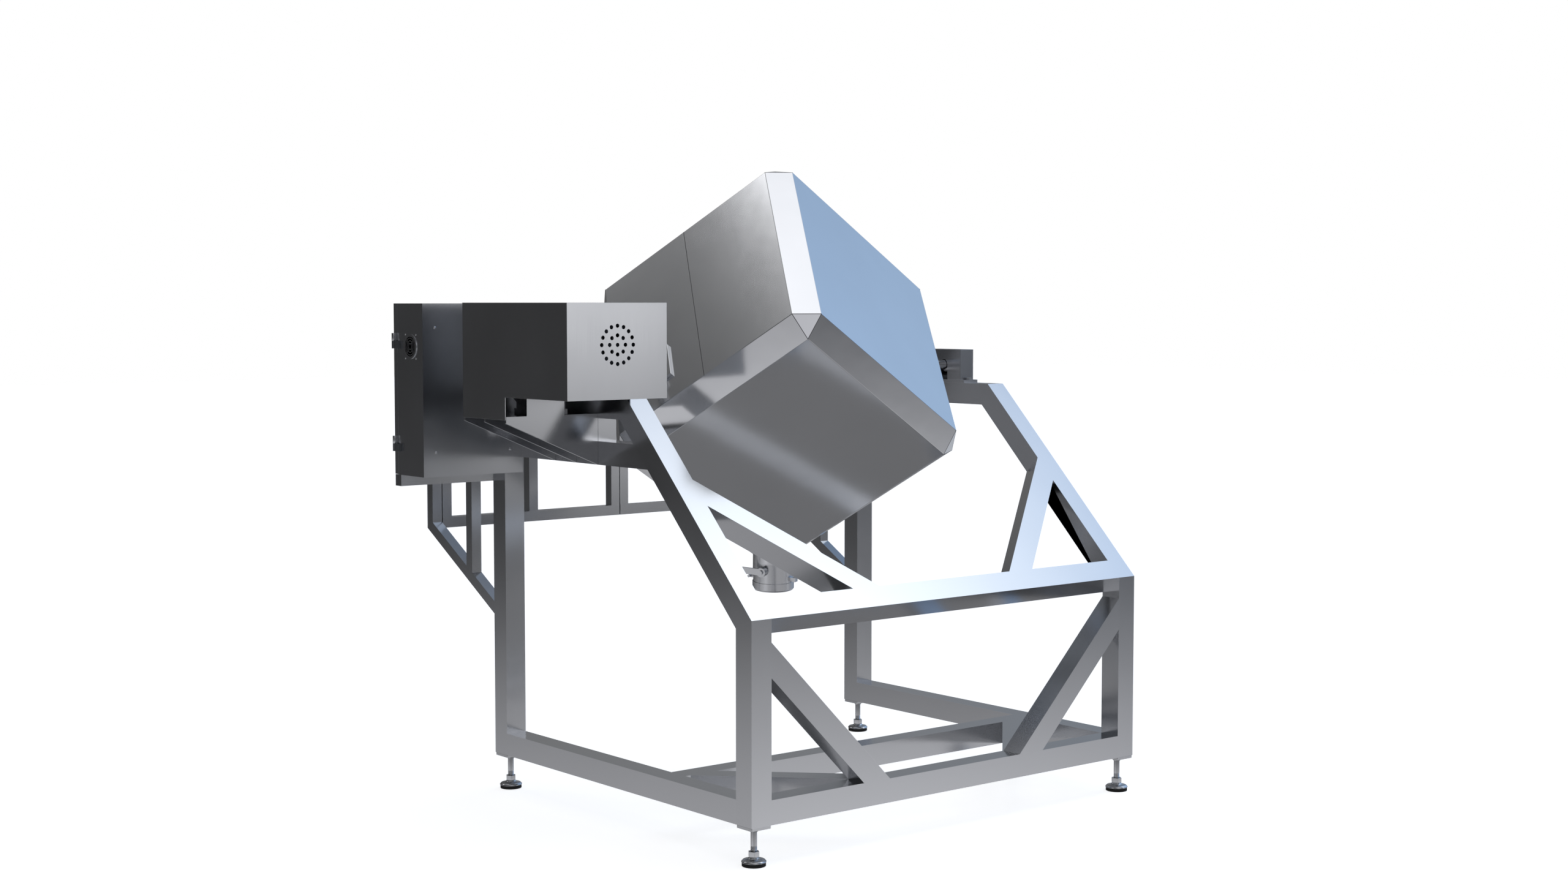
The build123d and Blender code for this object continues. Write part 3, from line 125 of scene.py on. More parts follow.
studioSettings = {
    "heights": [  # height of the direction, brightness
        (-1.0, 0.18), (-0.8, 0.18), (-0.5, 0.30), (-0.27, 0.50), (-0.23, 0.47), (-0.19, 0.33),
        (-0.14, 0.10), (-0.10, 0.03), (-0.05, 0.02), (0.0, 0.03), (1.0, 0.03),
    ],
    "blue": 1.03,  # how much bluer than grey the room is
    "glows": [  # direction, tightness, colour
        ((0.0, 0.0, 1.0), 10.0, (0.7, 0.7, 0.71)),
        ((0.20, 0.06, 0.97), 60.0, (0.72, 0.72, 0.73)),
        ((-0.24, 0.70, 0.67), 900.0, (7.0, 7.0, 7.1)),
        ((-0.33, 0.68, 0.65), 600.0, (0.7, 0.7, 0.7)),
        ((-0.35, 0.75, 0.55), 8.0, (0.08, 0.08, 0.08)),
        ((-0.25, 0.80, 0.55), 900.0, (0.27, 0.27, 0.27)),
        ((0.56, -0.83, 0.0), 600.0, (1.7, 1.69, 1.7)),
        ((0.63, -0.20, 0.75), 120.0, (1.44, 1.38, 1.18)),
        ((0.58, -0.10, 0.81), 120.0, (0.65, 0.65, 0.65)),
        ((0.80, -0.20, 0.56), 8.0, (0.37, 0.56, 0.88)),
        ((0.95, 0.22, 0.25), 12.0, (0.28, 0.39, 0.54)),
        ((0.57, -0.82, 0.12), 300.0, (2.0, 2.0, 2.04)),
        ((0.64, -0.68, -0.36), 60.0, (0.45, 0.45, 0.46)),
        ((-0.31, -0.86, 0.42), 12.0, (0.63, 0.63, 0.66)),
        ((-0.97, -0.15, -0.15), 60.0, (0.25, 0.25, 0.26)),
        ((0.60, 0.78, 0.20), 20.0, (0.20, 0.20, 0.20)),
        ((-0.70, 0.10, -0.70), 8.0, (0.28, 0.28, 0.29)),
    ],
}


def addGlow(tree, coords, glow, y):
    direction, power, colour = glow
    dot = addNode(tree, "ShaderNodeVectorMath", (-1150, y), operation="DOT_PRODUCT")
    dot.inputs[1].default_value = Vector(direction).normalized()
    joinTo(tree, coords, dot.inputs[0])
    above = mathNode(tree, "MAXIMUM", dot.outputs["Value"], 0.0, at=(-950, y))
    shaped = mathNode(tree, "POWER", above, power, at=(-750, y))
    tinted = addNode(tree, "ShaderNodeVectorMath", (-550, y), operation="SCALE")
    tinted.inputs[0].default_value = colour
    joinTo(tree, shaped, tinted.inputs["Scale"])
    return tinted.outputs[0]


def makeStudio(s):  # brightness goes by height, and soft glows stand where the photo's metal mirrors them
    world = bpy.data.worlds.new("studio")
    scene.world = world
    world.use_nodes = True
    tree = world.node_tree
    tree.nodes.clear()
    coords = addNode(tree, "ShaderNodeTexCoord", (-1400, 0)).outputs["Generated"]
    parts = addNode(tree, "ShaderNodeSeparateXYZ", (-1200, 300))
    joinTo(tree, coords, parts.inputs[0])
    rise = addNode(tree, "ShaderNodeMapRange", (-1000, 300))
    rise.inputs["From Min"].default_value = -1.0
    joinTo(tree, parts.outputs["Z"], rise.inputs["Value"])
    level = addNode(tree, "ShaderNodeValToRGB", (-800, 300))
    stops = level.color_ramp.elements
    for i, (height, value) in enumerate(s["heights"]):
        stop = stops[i] if i < 2 else stops.new((height + 1) / 2)  # a new ramp has two stops already
        stop.position = (height + 1) / 2
        stop.color = (value, value, value * s["blue"], 1)
    joinTo(tree, rise.outputs["Result"], level.inputs[0])
    total = level.outputs["Color"]
    for i, glow in enumerate(s["glows"]):
        add = addNode(tree, "ShaderNodeVectorMath", (-350, -i * 180), operation="ADD")
        joinTo(tree, addGlow(tree, coords, glow, -i * 180), add.inputs[0])
        joinTo(tree, total, add.inputs[1])
        total = add.outputs[0]
    room = addNode(tree, "ShaderNodeBackground", (-100, 0))
    joinTo(tree, total, room.inputs["Color"])
    white = addNode(tree, "ShaderNodeBackground", (-100, -200))
    white.inputs["Color"].default_value = (1, 1, 1, 1)
    out = addNode(tree, "ShaderNodeOutputWorld", (350, 0))
    joinTo(tree, cameraOrRest(tree, room, white, (150, 0)), out.inputs["Surface"])


makeStudio(studioSettings)

floorSettings = {
    "size": 60.0, "middle": (0.6, 0.5), "below": 0.0005,
    "tone": (0.93, 0.935, 0.94), "glow": 0.85,
}


def makeFloor(s):
    bm = bmesh.new()
    bmesh.ops.create_grid(bm, x_segments=1, y_segments=1, size=s["size"] / 2)
    bmesh.ops.translate(bm, verts=bm.verts, vec=(*s["middle"], -s["below"]))
    mesh = bpy.data.meshes.new("floor")
    bm.to_mesh(mesh)
    bm.free()
    floor = bpy.data.objects.new("floor", mesh)
    scene.collection.objects.link(floor)
    material = bpy.data.materials.new("paleFloor")
    material.use_nodes = True
    tree = material.node_tree
    tree.nodes.clear()
    lit = addNode(tree, "ShaderNodeBsdfDiffuse", (-300, 100))
    lit.inputs["Color"].default_value = (*s["tone"], 1)
    glow = addNode(tree, "ShaderNodeEmission", (-300, -50))
    glow.inputs["Color"].default_value = (*s["tone"], 1)
    glow.inputs["Strength"].default_value = s["glow"]
    both = addNode(tree, "ShaderNodeAddShader", (-100, 50))
    joinTo(tree, lit.outputs[0], both.inputs[0])
    joinTo(tree, glow.outputs[0], both.inputs[1])
    clear = addNode(tree, "ShaderNodeBsdfTransparent", (-300, -250))  # the metal mirrors the room through it
    out = addNode(tree, "ShaderNodeOutputMaterial", (300, 50))
    joinTo(tree, cameraOrRest(tree, clear, both, (100, 50)), out.inputs["Surface"])
    mesh.materials.append(material)


makeFloor(floorSettings)
print("stage: studio ready")

# Effects that several materials share

grainSettings = {"along": 6.0, "across": 900.0, "detail": 3.0, "roughness": 0.6, "cloudScale": 3.5}
rubAndSheenSettings = {"width": 0.002, "gain": 3.0, "samples": 4}


def newGroup(name, inputs, outputs):
    group = bpy.data.node_groups.new(name, "ShaderNodeTree")
    for label, kind, value in inputs:
        socket = group.interface.new_socket(name=label, in_out="INPUT", socket_type=kind)
        if value is not None:
            socket.default_value = value
    for label, kind in outputs:
        group.interface.new_socket(name=label, in_out="OUTPUT", socket_type=kind)
    return group, addNode(group, "NodeGroupInput", (-900, 0)), addNode(group, "NodeGroupOutput", (600, 0))


def makeGrainGroup(s):  # the polishing belt's lines, long one way and close the other, and broad clouds
    inputs = [("Vector", "NodeSocketVector", None), ("Along", "NodeSocketFloat", s["along"]),
              ("Across", "NodeSocketFloat", s["across"])]
    outputs = [("Lines", "NodeSocketFloat"), ("Cloud", "NodeSocketFloat")]
    group, source, sink = newGroup("satinGrain", inputs, outputs)
    scale = addNode(group, "ShaderNodeCombineXYZ", (-700, -150))
    joinTo(group, source.outputs["Along"], scale.inputs[0])
    joinTo(group, source.outputs["Across"], scale.inputs[1])
    joinTo(group, source.outputs["Across"], scale.inputs[2])
    stretch = addNode(group, "ShaderNodeVectorMath", (-500, 0), operation="MULTIPLY")
    joinTo(group, source.outputs["Vector"], stretch.inputs[0])
    joinTo(group, scale.outputs[0], stretch.inputs[1])
    fine = addNode(group, "ShaderNodeTexNoise", (-250, 100))
    fine.inputs["Scale"].default_value = 1.0
    fine.inputs["Detail"].default_value = s["detail"]
    fine.inputs["Roughness"].default_value = s["roughness"]
    joinTo(group, stretch.outputs[0], fine.inputs["Vector"])
    cloud = addNode(group, "ShaderNodeTexNoise", (-250, -200))
    cloud.inputs["Scale"].default_value = s["cloudScale"]
    cloud.inputs["Detail"].default_value = s["detail"]
    joinTo(group, source.outputs["Vector"], cloud.inputs["Vector"])
    joinTo(group, fine.outputs["Fac"], sink.inputs["Lines"])
    joinTo(group, cloud.outputs["Fac"], sink.inputs["Cloud"])
    return group


def makeEdgeGroup(s):  # where outer edges are rubbed bright, with a painted highlight along them
    inputs = [("Width", "NodeSocketFloat", s["width"]), ("Gain", "NodeSocketFloat", s["gain"])]
    group, source, sink = newGroup("edgeRubAndSheen", inputs, [("Rub", "NodeSocketFloat")])
    soft = addNode(group, "ShaderNodeBevel", (-600, 100), samples=s["samples"])
    joinTo(group, source.outputs["Width"], soft.inputs["Radius"])
    plain = addNode(group, "ShaderNodeNewGeometry", (-600, -150))
    dot = addNode(group, "ShaderNodeVectorMath", (-400, 0), operation="DOT_PRODUCT")
    joinTo(group, soft.outputs[0], dot.inputs[0])
    joinTo(group, plain.outputs["True Normal"], dot.inputs[1])
    # How far the bevelled normal turns from the true one marks the outer edges, where rubbed wear and a
    # painted highlight go.
    turned = mathNode(group, "SUBTRACT", 1.0, dot.outputs["Value"], at=(-200, 0))
    gained = mathNode(group, "MULTIPLY", turned, source.outputs["Gain"], clamp=True)
    joinTo(group, gained, sink.inputs["Rub"])
    return group


satinGrain = makeGrainGroup(grainSettings)
edgeRubAndSheen = makeEdgeGroup(rubAndSheenSettings)


def shade(colour, gain, lift):  # a lighter or darker tone of a colour
    return (*[min(1, c * gain + lift) for c in colour], 1)


def toned(tree, s, mask, rubAndSheen):  # a colour that drifts between two tones, with rubbed edges and a painted edge highlight in a third
    colour = s["colour"]
    tone = addNode(tree, "ShaderNodeMix", (-600, 200), data_type="RGBA")
    tone.inputs["A"].default_value = shade(colour, *s["dark"])
    tone.inputs["B"].default_value = shade(colour, *s["light"])
    joinTo(tree, mask, tone.inputs["Factor"])
    wornAndSheen = addNode(tree, "ShaderNodeMix", (-350, 200), data_type="RGBA")
    joinTo(tree, tone.outputs["Result"], wornAndSheen.inputs["A"])
    # The third tone paints a highlight along the outer edges as well as their rubbed wear.
    wornAndSheen.inputs["B"].default_value = shade(colour, *s["rubAndSheenTone"])
    joinTo(tree, rubAndSheen, wornAndSheen.inputs["Factor"])
    return wornAndSheen.outputs["Result"]


metalUsual = {  # what a metal has unless it gives its own values; each tone is a gain and a lift
    "uv": False, "along": 6.0, "across": 900.0, "edge": 0.0015,
    "dark": (0.93, 0.0), "light": (1.04, 0.0), "rubAndSheenTone": (1.15, 0.0),
    "lineRough": 0.04, "cloudRough": 0.06, "bump": 0.05, "depth": 0.00005, "wave": 0.0,
}


def metalFinish(name, own):  # polished or satin metal with grain, faint clouding, and rubbed edges with a painted highlight
    s = {**metalUsual, **own}
    material = bpy.data.materials.new(name)
    material.use_nodes = True
    tree = material.node_tree
    shader = tree.nodes["Principled BSDF"]
    shader.inputs["Metallic"].default_value = 1.0
    if s["uv"]:
        coords = addNode(tree, "ShaderNodeUVMap", (-1200, 0), uv_map="grain").outputs[0]
    else:
        coords = addNode(tree, "ShaderNodeTexCoord", (-1200, 0)).outputs["Object"]
    grain = addNode(tree, "ShaderNodeGroup", (-950, 0), node_tree=satinGrain)
    grain.inputs["Along"].default_value = s["along"]
    grain.inputs["Across"].default_value = s["across"]
    joinTo(tree, coords, grain.inputs["Vector"])
    rubAndSheen = addNode(tree, "ShaderNodeGroup", (-950, -250), node_tree=edgeRubAndSheen)
    rubAndSheen.inputs["Width"].default_value = s["edge"]
    colour = toned(tree, s, grain.outputs["Cloud"], rubAndSheen.outputs["Rub"])
    joinTo(tree, colour, shader.inputs["Base Color"])
    base = s["rough"] - s["lineRough"] / 2
    lined = mathNode(tree, "MULTIPLY_ADD", grain.outputs["Lines"], s["lineRough"], base, (-600, -100))
    clouded = mathNode(tree, "MULTIPLY_ADD", grain.outputs["Cloud"], s["cloudRough"], lined, (-600, -300))
    joinTo(tree, clouded, shader.inputs["Roughness"])
    wave = addNode(tree, "ShaderNodeBump", (-500, -450))
    wave.inputs["Strength"].default_value = 1.0
    wave.inputs["Distance"].default_value = s["wave"]
    joinTo(tree, grain.outputs["Cloud"], wave.inputs["Height"])
    bump = addNode(tree, "ShaderNodeBump", (-300, -300))
    bump.inputs["Strength"].default_value = s["bump"]
    bump.inputs["Distance"].default_value = s["depth"]
    joinTo(tree, grain.outputs["Lines"], bump.inputs["Height"])
    joinTo(tree, wave.outputs[0], bump.inputs["Normal"])
    joinTo(tree, bump.outputs[0], shader.inputs["Normal"])
    return material


plainUsual = {  # what rubber, plastic, paint or a casting has unless it gives its own values
    "metal": 0.0, "coat": 0.0, "scale": 900.0, "detail": 4.0, "broadScale": 14.0, "edge": 0.001, "gain": 1.5,
    "dark": (0.86, 0.0), "light": (1.1, 0.004), "rubAndSheenTone": (1.35, 0.02),
    "roughSpread": 0.16, "bump": 0.2, "depth": 0.0002,
}


def plainFinish(name, own):  # rubber, plastic, paint and castings: speckle, soft wear, a painted edge highlight and a fine texture
    s = {**plainUsual, **own}
    material = bpy.data.materials.new(name)
    material.use_nodes = True
    tree = material.node_tree
    shader = tree.nodes["Principled BSDF"]
    shader.inputs["Metallic"].default_value = s["metal"]
    shader.inputs["Coat Weight"].default_value = s["coat"]
    coords = addNode(tree, "ShaderNodeTexCoord", (-1200, 0)).outputs["Object"]
    speck = addNode(tree, "ShaderNodeTexNoise", (-900, 100))
    speck.inputs["Scale"].default_value = s["scale"]
    speck.inputs["Detail"].default_value = s["detail"]
    joinTo(tree, coords, speck.inputs["Vector"])
    broad = addNode(tree, "ShaderNodeTexNoise", (-900, -150))
    broad.inputs["Scale"].default_value = s["broadScale"]
    joinTo(tree, coords, broad.inputs["Vector"])
    rubAndSheen = addNode(tree, "ShaderNodeGroup", (-900, -400), node_tree=edgeRubAndSheen)
    rubAndSheen.inputs["Width"].default_value = s["edge"]
    rubAndSheen.inputs["Gain"].default_value = s["gain"]
    colour = toned(tree, s, broad.outputs["Fac"], rubAndSheen.outputs["Rub"])
    joinTo(tree, colour, shader.inputs["Base Color"])
    base = s["rough"] - s["roughSpread"] / 2
    rough = mathNode(tree, "MULTIPLY_ADD", speck.outputs["Fac"], s["roughSpread"], base, (-600, -100))
    joinTo(tree, rough, shader.inputs["Roughness"])
    bump = addNode(tree, "ShaderNodeBump", (-300, -300))
    bump.inputs["Strength"].default_value = s["bump"]
    bump.inputs["Distance"].default_value = s["depth"]
    joinTo(tree, speck.outputs["Fac"], bump.inputs["Height"])
    joinTo(tree, bump.outputs[0], shader.inputs["Normal"])
    return material


frameTone, drumTone, coverTone = (0.66, 0.67, 0.69), (0.74, 0.75, 0.77), (0.62, 0.63, 0.65)
metalSettings = {
    "frameSteel": {"colour": frameTone, "rough": 0.14, "uv": True},
    "drumSteel": {
        "colour": drumTone, "rough": 0.11, "uv": True, "edge": 0.001, "wave": 0.0005, "cloudRough": 0.02,
    },
    "coverSteel": {"colour": coverTone, "rough": 0.17, "uv": True},
    "framePlain": {"colour": frameTone, "rough": 0.22, "along": 500.0, "bump": 0.03},
    "drumPlain": {"colour": drumTone, "rough": 0.18, "along": 500.0, "bump": 0.03},
    "coverPlain": {"colour": coverTone, "rough": 0.26, "along": 500.0, "bump": 0.03},
    "turnedSteel": {"colour": (0.68, 0.69, 0.71), "rough": 0.20, "along": 700.0, "bump": 0.03},
    "groundSteel": {"colour": (0.72, 0.72, 0.74), "rough": 0.12, "bump": 0.02},
    "bronze": {"colour": (0.66, 0.44, 0.20), "rough": 0.32},
}
plainSettings = {
    # Dark steel for the drum's seam lines: painted shade of the joint grooves.
    "seamShadeSteel": {"colour": (0.10, 0.10, 0.105), "rough": 0.45, "metal": 1.0},
    "castAlloy": {"colour": (0.50, 0.51, 0.52), "rough": 0.42, "metal": 1.0, "bump": 0.5},
    "castIron": {"colour": (0.16, 0.17, 0.18), "rough": 0.5, "metal": 1.0, "bump": 0.6},
    "rotorIron": {"colour": (0.20, 0.20, 0.21), "rough": 0.45, "metal": 1.0},
    "motorPaint": {"colour": (0.10, 0.12, 0.15), "rough": 0.38, "coat": 0.3},
    "fanPlastic": {"colour": (0.012, 0.012, 0.013), "rough": 0.5},
    "blackRubber": {"colour": (0.012, 0.012, 0.012), "rough": 0.75, "bump": 0.4},
    "whiteRubber": {"colour": (0.72, 0.72, 0.68), "rough": 0.6, "bump": 0.3},
    "devicePlastic": {"colour": (0.48, 0.49, 0.48), "rough": 0.5},
    "blackPlastic": {"colour": (0.014, 0.014, 0.015), "rough": 0.28, "bump": 0.1},
    "redPlastic": {"colour": (0.52, 0.018, 0.012), "rough": 0.28, "bump": 0.1},
    "greenPlastic": {"colour": (0.012, 0.22, 0.05), "rough": 0.28, "bump": 0.1},
}
finishes = {name: metalFinish(name, own) for name, own in metalSettings.items()}
finishes.update({name: plainFinish(name, own) for name, own in plainSettings.items()})

slotFinish = {
    "frame_tube": "frameSteel", "drum_sheet": "drumSteel", "cover_sheet": "coverSteel",
    "turned_steel": "turnedSteel", "bearing_steel": "groundSteel", "bearing_iron": "castIron",
    "gear_alloy": "castAlloy", "bronze": "bronze", "motor_paint": "motorPaint", "rotor_iron": "rotorIron",
    "fan_plastic": "fanPlastic", "black_rubber": "blackRubber", "white_rubber": "whiteRubber",
    "device_plastic": "devicePlastic", "black_plastic": "blackPlastic", "red_plastic": "redPlastic",
    "green_plastic": "greenPlastic",
}
plainOf = {  # the same metals for pieces that have no grain map
    "frameSteel": "framePlain", "drumSteel": "drumPlain", "coverSteel": "coverPlain",
}
print("stage: finishes ready")

# Tools that copy, make and join shapes

meshSettings = {
    "merge": 0.00001, "weldMerge": 0.00002, "flat": 0.3,  # points this close and faces this level are one
    "endOn": 0.05, "spareAxis": (0.3, 0.8, 0.52),  # faces that look along the grain take the spare axis
    "edgeAngle": 35, "segments": 3, "flatWeight": 80,
}


def islands(bm):  # the points of each separate body
    bm.verts.ensure_lookup_table()
    seen, groups = set(), []
    for vert in bm.verts:
        if vert.index in seen:
            continue
        stack, group = [vert], []
        seen.add(vert.index)
        while stack:
            v = stack.pop()
            group.append(v)
            for edge in v.link_edges:
                w = edge.other_vert(v)
                if w.index not in seen:
                    seen.add(w.index)
                    stack.append(w)
        groups.append(group)
    return groups


def cleanCopy(node):  # a CAD node's shape with its doubles merged and flat faces made whole
    bm = bmesh.new()
    bm.from_mesh(cad[node].data)
    bmesh.ops.remove_doubles(bm, verts=bm.verts, dist=meshSettings["merge"])
    bmesh.ops.dissolve_limit(bm, angle_limit=radians(meshSettings["flat"]), verts=bm.verts, edges=bm.edges)
    return bm


def mainAxis(verts):  # the direction of the longest edge
    best, axis = 0.0, Vector((0, 0, 1))
    inside = set(verts)
    for vert in verts:
        for edge in vert.link_edges:
            span = edge.other_vert(vert).co - vert.co
            if edge.other_vert(vert) in inside and span.length > best:
                best, axis = span.length, span.normalized()
    return axis


def grainMap(bm, axisOf=None):  # u runs along each bar or plate, v across it, both in metres
    layer = bm.loops.layers.uv.get("grain") or bm.loops.layers.uv.new("grain")
    for group in islands(bm):
        axis = axisOf or mainAxis(group)
        faces = {face for vert in group for face in vert.link_faces}
        for face in faces:
            side = face.normal.cross(axis)
            if side.length < meshSettings["endOn"]:
                side = face.normal.cross(Vector(meshSettings["spareAxis"]))
            side.normalize()
            along = side.cross(face.normal)
            for loop in face.loops:
                loop[layer].uv = (loop.vert.co.dot(along), loop.vert.co.dot(side))


def toObject(name, bm):
    mesh = bpy.data.meshes.new(name)
    bm.to_mesh(mesh)
    bm.free()
    piece = bpy.data.objects.new(name, mesh)
    scene.collection.objects.link(piece)
    return piece


def addMesh(target, bm):  # puts one shape into another and lets the first go
    mesh = bpy.data.meshes.new("part")
    bm.to_mesh(mesh)
    bm.free()
    target.from_mesh(mesh)
    bpy.data.meshes.remove(mesh)


def joined(name, parts):  # one piece of several shapes that stay apart
    whole = bmesh.new()
    for bm in parts:
        addMesh(whole, bm)
    return toObject(name, whole)


def corners(node):  # a CAD node's lowest and highest corners, in mm
    low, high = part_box(node)
    return Vector(low) * 1000, Vector(high) * 1000


def boxBetween(low, high):  # a square block between two corners, in mm
    bm = bmesh.new()
    bmesh.ops.create_cube(bm, size=1.0)
    low, high = Vector(low), Vector(high)
    bmesh.ops.scale(bm, vec=(high - low) / 1000, verts=bm.verts)
    bmesh.ops.translate(bm, verts=bm.verts, vec=(low + high) / 2000)
    return bm


def barBetween(start, end, side, size, cuts=()):  # a square bar; each cut's normal points at what stays
    start, end = Vector(start) / 1000, Vector(end) / 1000
    along = (end - start).normalized()
    side = Vector(side).normalized()
    turn = Matrix((side, along.cross(side), along)).transposed().to_4x4()
    bm = bmesh.new()
    bmesh.ops.create_cube(bm, size=1.0)
    bmesh.ops.scale(bm, vec=(size / 1000, size / 1000, (end - start).length), verts=bm.verts)
    bmesh.ops.transform(bm, matrix=Matrix.Translation((start + end) / 2) @ turn, verts=bm.verts)
    for place, normal in cuts:
        whole = list(bm.verts) + list(bm.edges) + list(bm.faces)
        place = Vector(place) / 1000
        cut = bmesh.ops.bisect_plane(bm, geom=whole, plane_co=place, plane_no=normal, clear_inner=True)
        rim = [g for g in cut["geom_cut"] if isinstance(g, bmesh.types.BMEdge)]
        if rim:
            bmesh.ops.contextual_create(bm, geom=rim)
    bmesh.ops.recalc_face_normals(bm, faces=bm.faces)
    grainMap(bm, along)
    return bm


def mitredBars(points, side, size, firstCut=None):  # bars along a bent line, with mitres at the bends
    points = [Vector(p) for p in points]
    steps = [(b - a).normalized() for a, b in zip(points, points[1:])]
    bars = []
    for i, step in enumerate(steps):
        start, end, cuts = points[i], points[i + 1], []
        if i > 0:
            cuts.append((start, step + steps[i - 1]))
            start = start - step * size
        elif firstCut:
            cuts.append(firstCut)
            start = start - step * size
        if i < len(steps) - 1:
            cuts.append((end, -(step + steps[i + 1])))
            end = end + step * size
        bars.append(barBetween(start, end, side, size, cuts))
    return bars


def mirrored(bm, middle):  # the same bar on the other side of the stand
    twin = bm.copy()
    place = Matrix.Translation((-middle / 1000, 0, 0))
    bmesh.ops.scale(twin, vec=(-1, 1, 1), verts=twin.verts, space=place)
    bmesh.ops.reverse_faces(twin, faces=twin.faces)
    return twin


def weld(name, parts, operation="UNION"):  # one skin round several solids that touch
    solids = [toObject("solid", bm) for bm in parts]
    base, others = solids[0], solids[1:]
    group = bpy.data.collections.new(name + "Parts")
    for other in others:
        group.objects.link(other)
    union = base.modifiers.new("weld", "BOOLEAN")
    union.operation = operation
    union.operand_type = "COLLECTION"
    union.collection = group
    union.solver = "EXACT"
    bpy.context.view_layer.update()
    mesh = bpy.data.meshes.new_from_object(base.evaluated_get(bpy.context.evaluated_depsgraph_get()))
    for solid in solids:
        bpy.data.objects.remove(solid)
    bpy.data.collections.remove(group)
    bm = bmesh.new()
    bm.from_mesh(mesh)
    bpy.data.meshes.remove(mesh)
    bmesh.ops.remove_doubles(bm, verts=bm.verts, dist=meshSettings["weldMerge"])
    level = radians(meshSettings["flat"])
    bmesh.ops.dissolve_limit(bm, angle_limit=level, verts=bm.verts, edges=bm.edges, delimit={"UV"})
    return bm


def finishPiece(piece, body, nodes, finish, width=0, angle=meshSettings["edgeAngle"],
                segments=meshSettings["segments"], rounded=False):
    piece.data.materials.clear()
    piece.data.materials.append(finishes[finish])
    if width:
        bevel = piece.modifiers.new("edges", "BEVEL")
        bevel.width = width
        bevel.segments = segments
        bevel.limit_method = "ANGLE"
        bevel.angle_limit = radians(angle)
        bevel.use_clamp_overlap = True
    if rounded:
        piece.data.shade_smooth()
        flats = piece.modifiers.new("flats", "WEIGHTED_NORMAL")
        flats.mode = "FACE_AREA"
        flats.weight = meshSettings["flatWeight"]
    if nodes:
        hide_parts(*nodes)
    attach(piece, body)


# Stand and gate

standSettings = {
    "tube": 60.0, "width": 1326.0, "depth": 1135.0, "postBottom": 97.5, "postTop": 590.0, "beamTop": 1098.0,
    "reach": 376.0, "baseReach": 380.0, "baseMember": 340.0, "secondBeam": 949.0, "smallTube": 30.0,
    "bracketFoot": 481.0, "bracketRise": 30.0, "bracketMid": 1235.0, "gateRear": 1463.0, "gateHigh": 600.0,
    "supportLow": 849.0, "supportReach": 300.0, "edge": 0.0016, "angle": 25,
    "nodes": [
        "frame_left_side", "frame_right_side", "frame_front", "frame_slope", "frame_base", "bracket_left",
        "bracket_right",
    ],
}
lean = sqrt(0.5)  # sine and cosine of the 45 degrees at which the front slopes back


def standPlaces(s):  # half a tube, then where the middles of the outer tubes are
    half = s["tube"] / 2
    rightX, rearY = s["width"] - s["tube"], s["depth"] - s["tube"]
    return half, rightX, rearY, s["postBottom"] + half, s["beamTop"] - half


def sideBars(s):  # both sides with their bottom rails, and the second beam of the left side
    t = s["tube"]
    half, rightX, rearY, railZ, beamZ = standPlaces(s)
    drop = half * (sqrt(2) - 1)  # from the bend of the outer face to the bend of the middle line
    run = s["beamTop"] - s["postTop"]
    bars = []
    for x in (0, rightX):
        points = [(x, 0, s["postBottom"]), (x, 0, s["postTop"] - drop), (x, run - half + drop, beamZ),
                  (x, rearY, beamZ), (x, rearY, s["postBottom"])]
        bars += mitredBars(points, (1, 0, 0), t)
        bars.append(barBetween((x, half, railZ), (x, rearY - half, railZ), (1, 0, 0), t))
    under = ((0, -half + t * lean, s["postTop"] - t * lean), (0, lean, -lean))
    start, end = s["secondBeam"] - s["postTop"] - t, rearY - half
    bars.append(barBetween((0, start, s["secondBeam"]), (0, end, s["secondBeam"]), (1, 0, 0), t, [under]))
    return bars


def crossBars(s):  # from side to side at the front, at the foot of the slope and across the base
    t = s["tube"]
    half, rightX, _, railZ, _ = standPlaces(s)
    runs = [((0, railZ), (0, 1, 0)), ((t * lean - half, s["postTop"]), (0, lean, lean)),
            ((s["baseMember"], railZ), (0, 0, 1))]
    return [barBetween((half, *place), (rightX - half, *place), side, t) for place, side in runs]


def brace(s, origin, up, postEdge, railEdge, reach, limit=None):  # a slanting bar between a post and a rail
    t, half, out = s["tube"], s["tube"] / 2, Vector((1, 0, 0))
    origin, up = Vector(origin), Vector(up)
    middle = postEdge + railEdge + reach - half * sqrt(2)
    cuts = [(origin + out * postEdge, out), (origin + up * railEdge, up)]
    if limit:
        cuts.append((origin + up * limit, -up))
    start = origin + out * (middle - railEdge + t) + up * (railEdge - t)
    end = origin + out * (postEdge - t) + up * (middle - postEdge + t)
    return barBetween(start, end, out.cross(up), t, cuts)


def braceBars(s):  # the three braces of the left corner and their twins on the right
    t = s["tube"]
    half, rightX, _, railZ, _ = standPlaces(s)
    slant = Vector((0, -half, s["postTop"])) + Vector((0, lean, -lean)) * half
    braces = [
        brace(s, (0, 0, 0), (0, 0, 1), half, s["postBottom"] + t, s["reach"]),
        brace(s, slant, (0, lean, lean), half, t, s["reach"]),
        brace(s, (0, 0, railZ), (0, 1, 0), half, half, s["baseReach"], s["baseMember"] - half),
    ]
    return [bar for one in braces for bar in (one, mirrored(one, rightX / 2))]


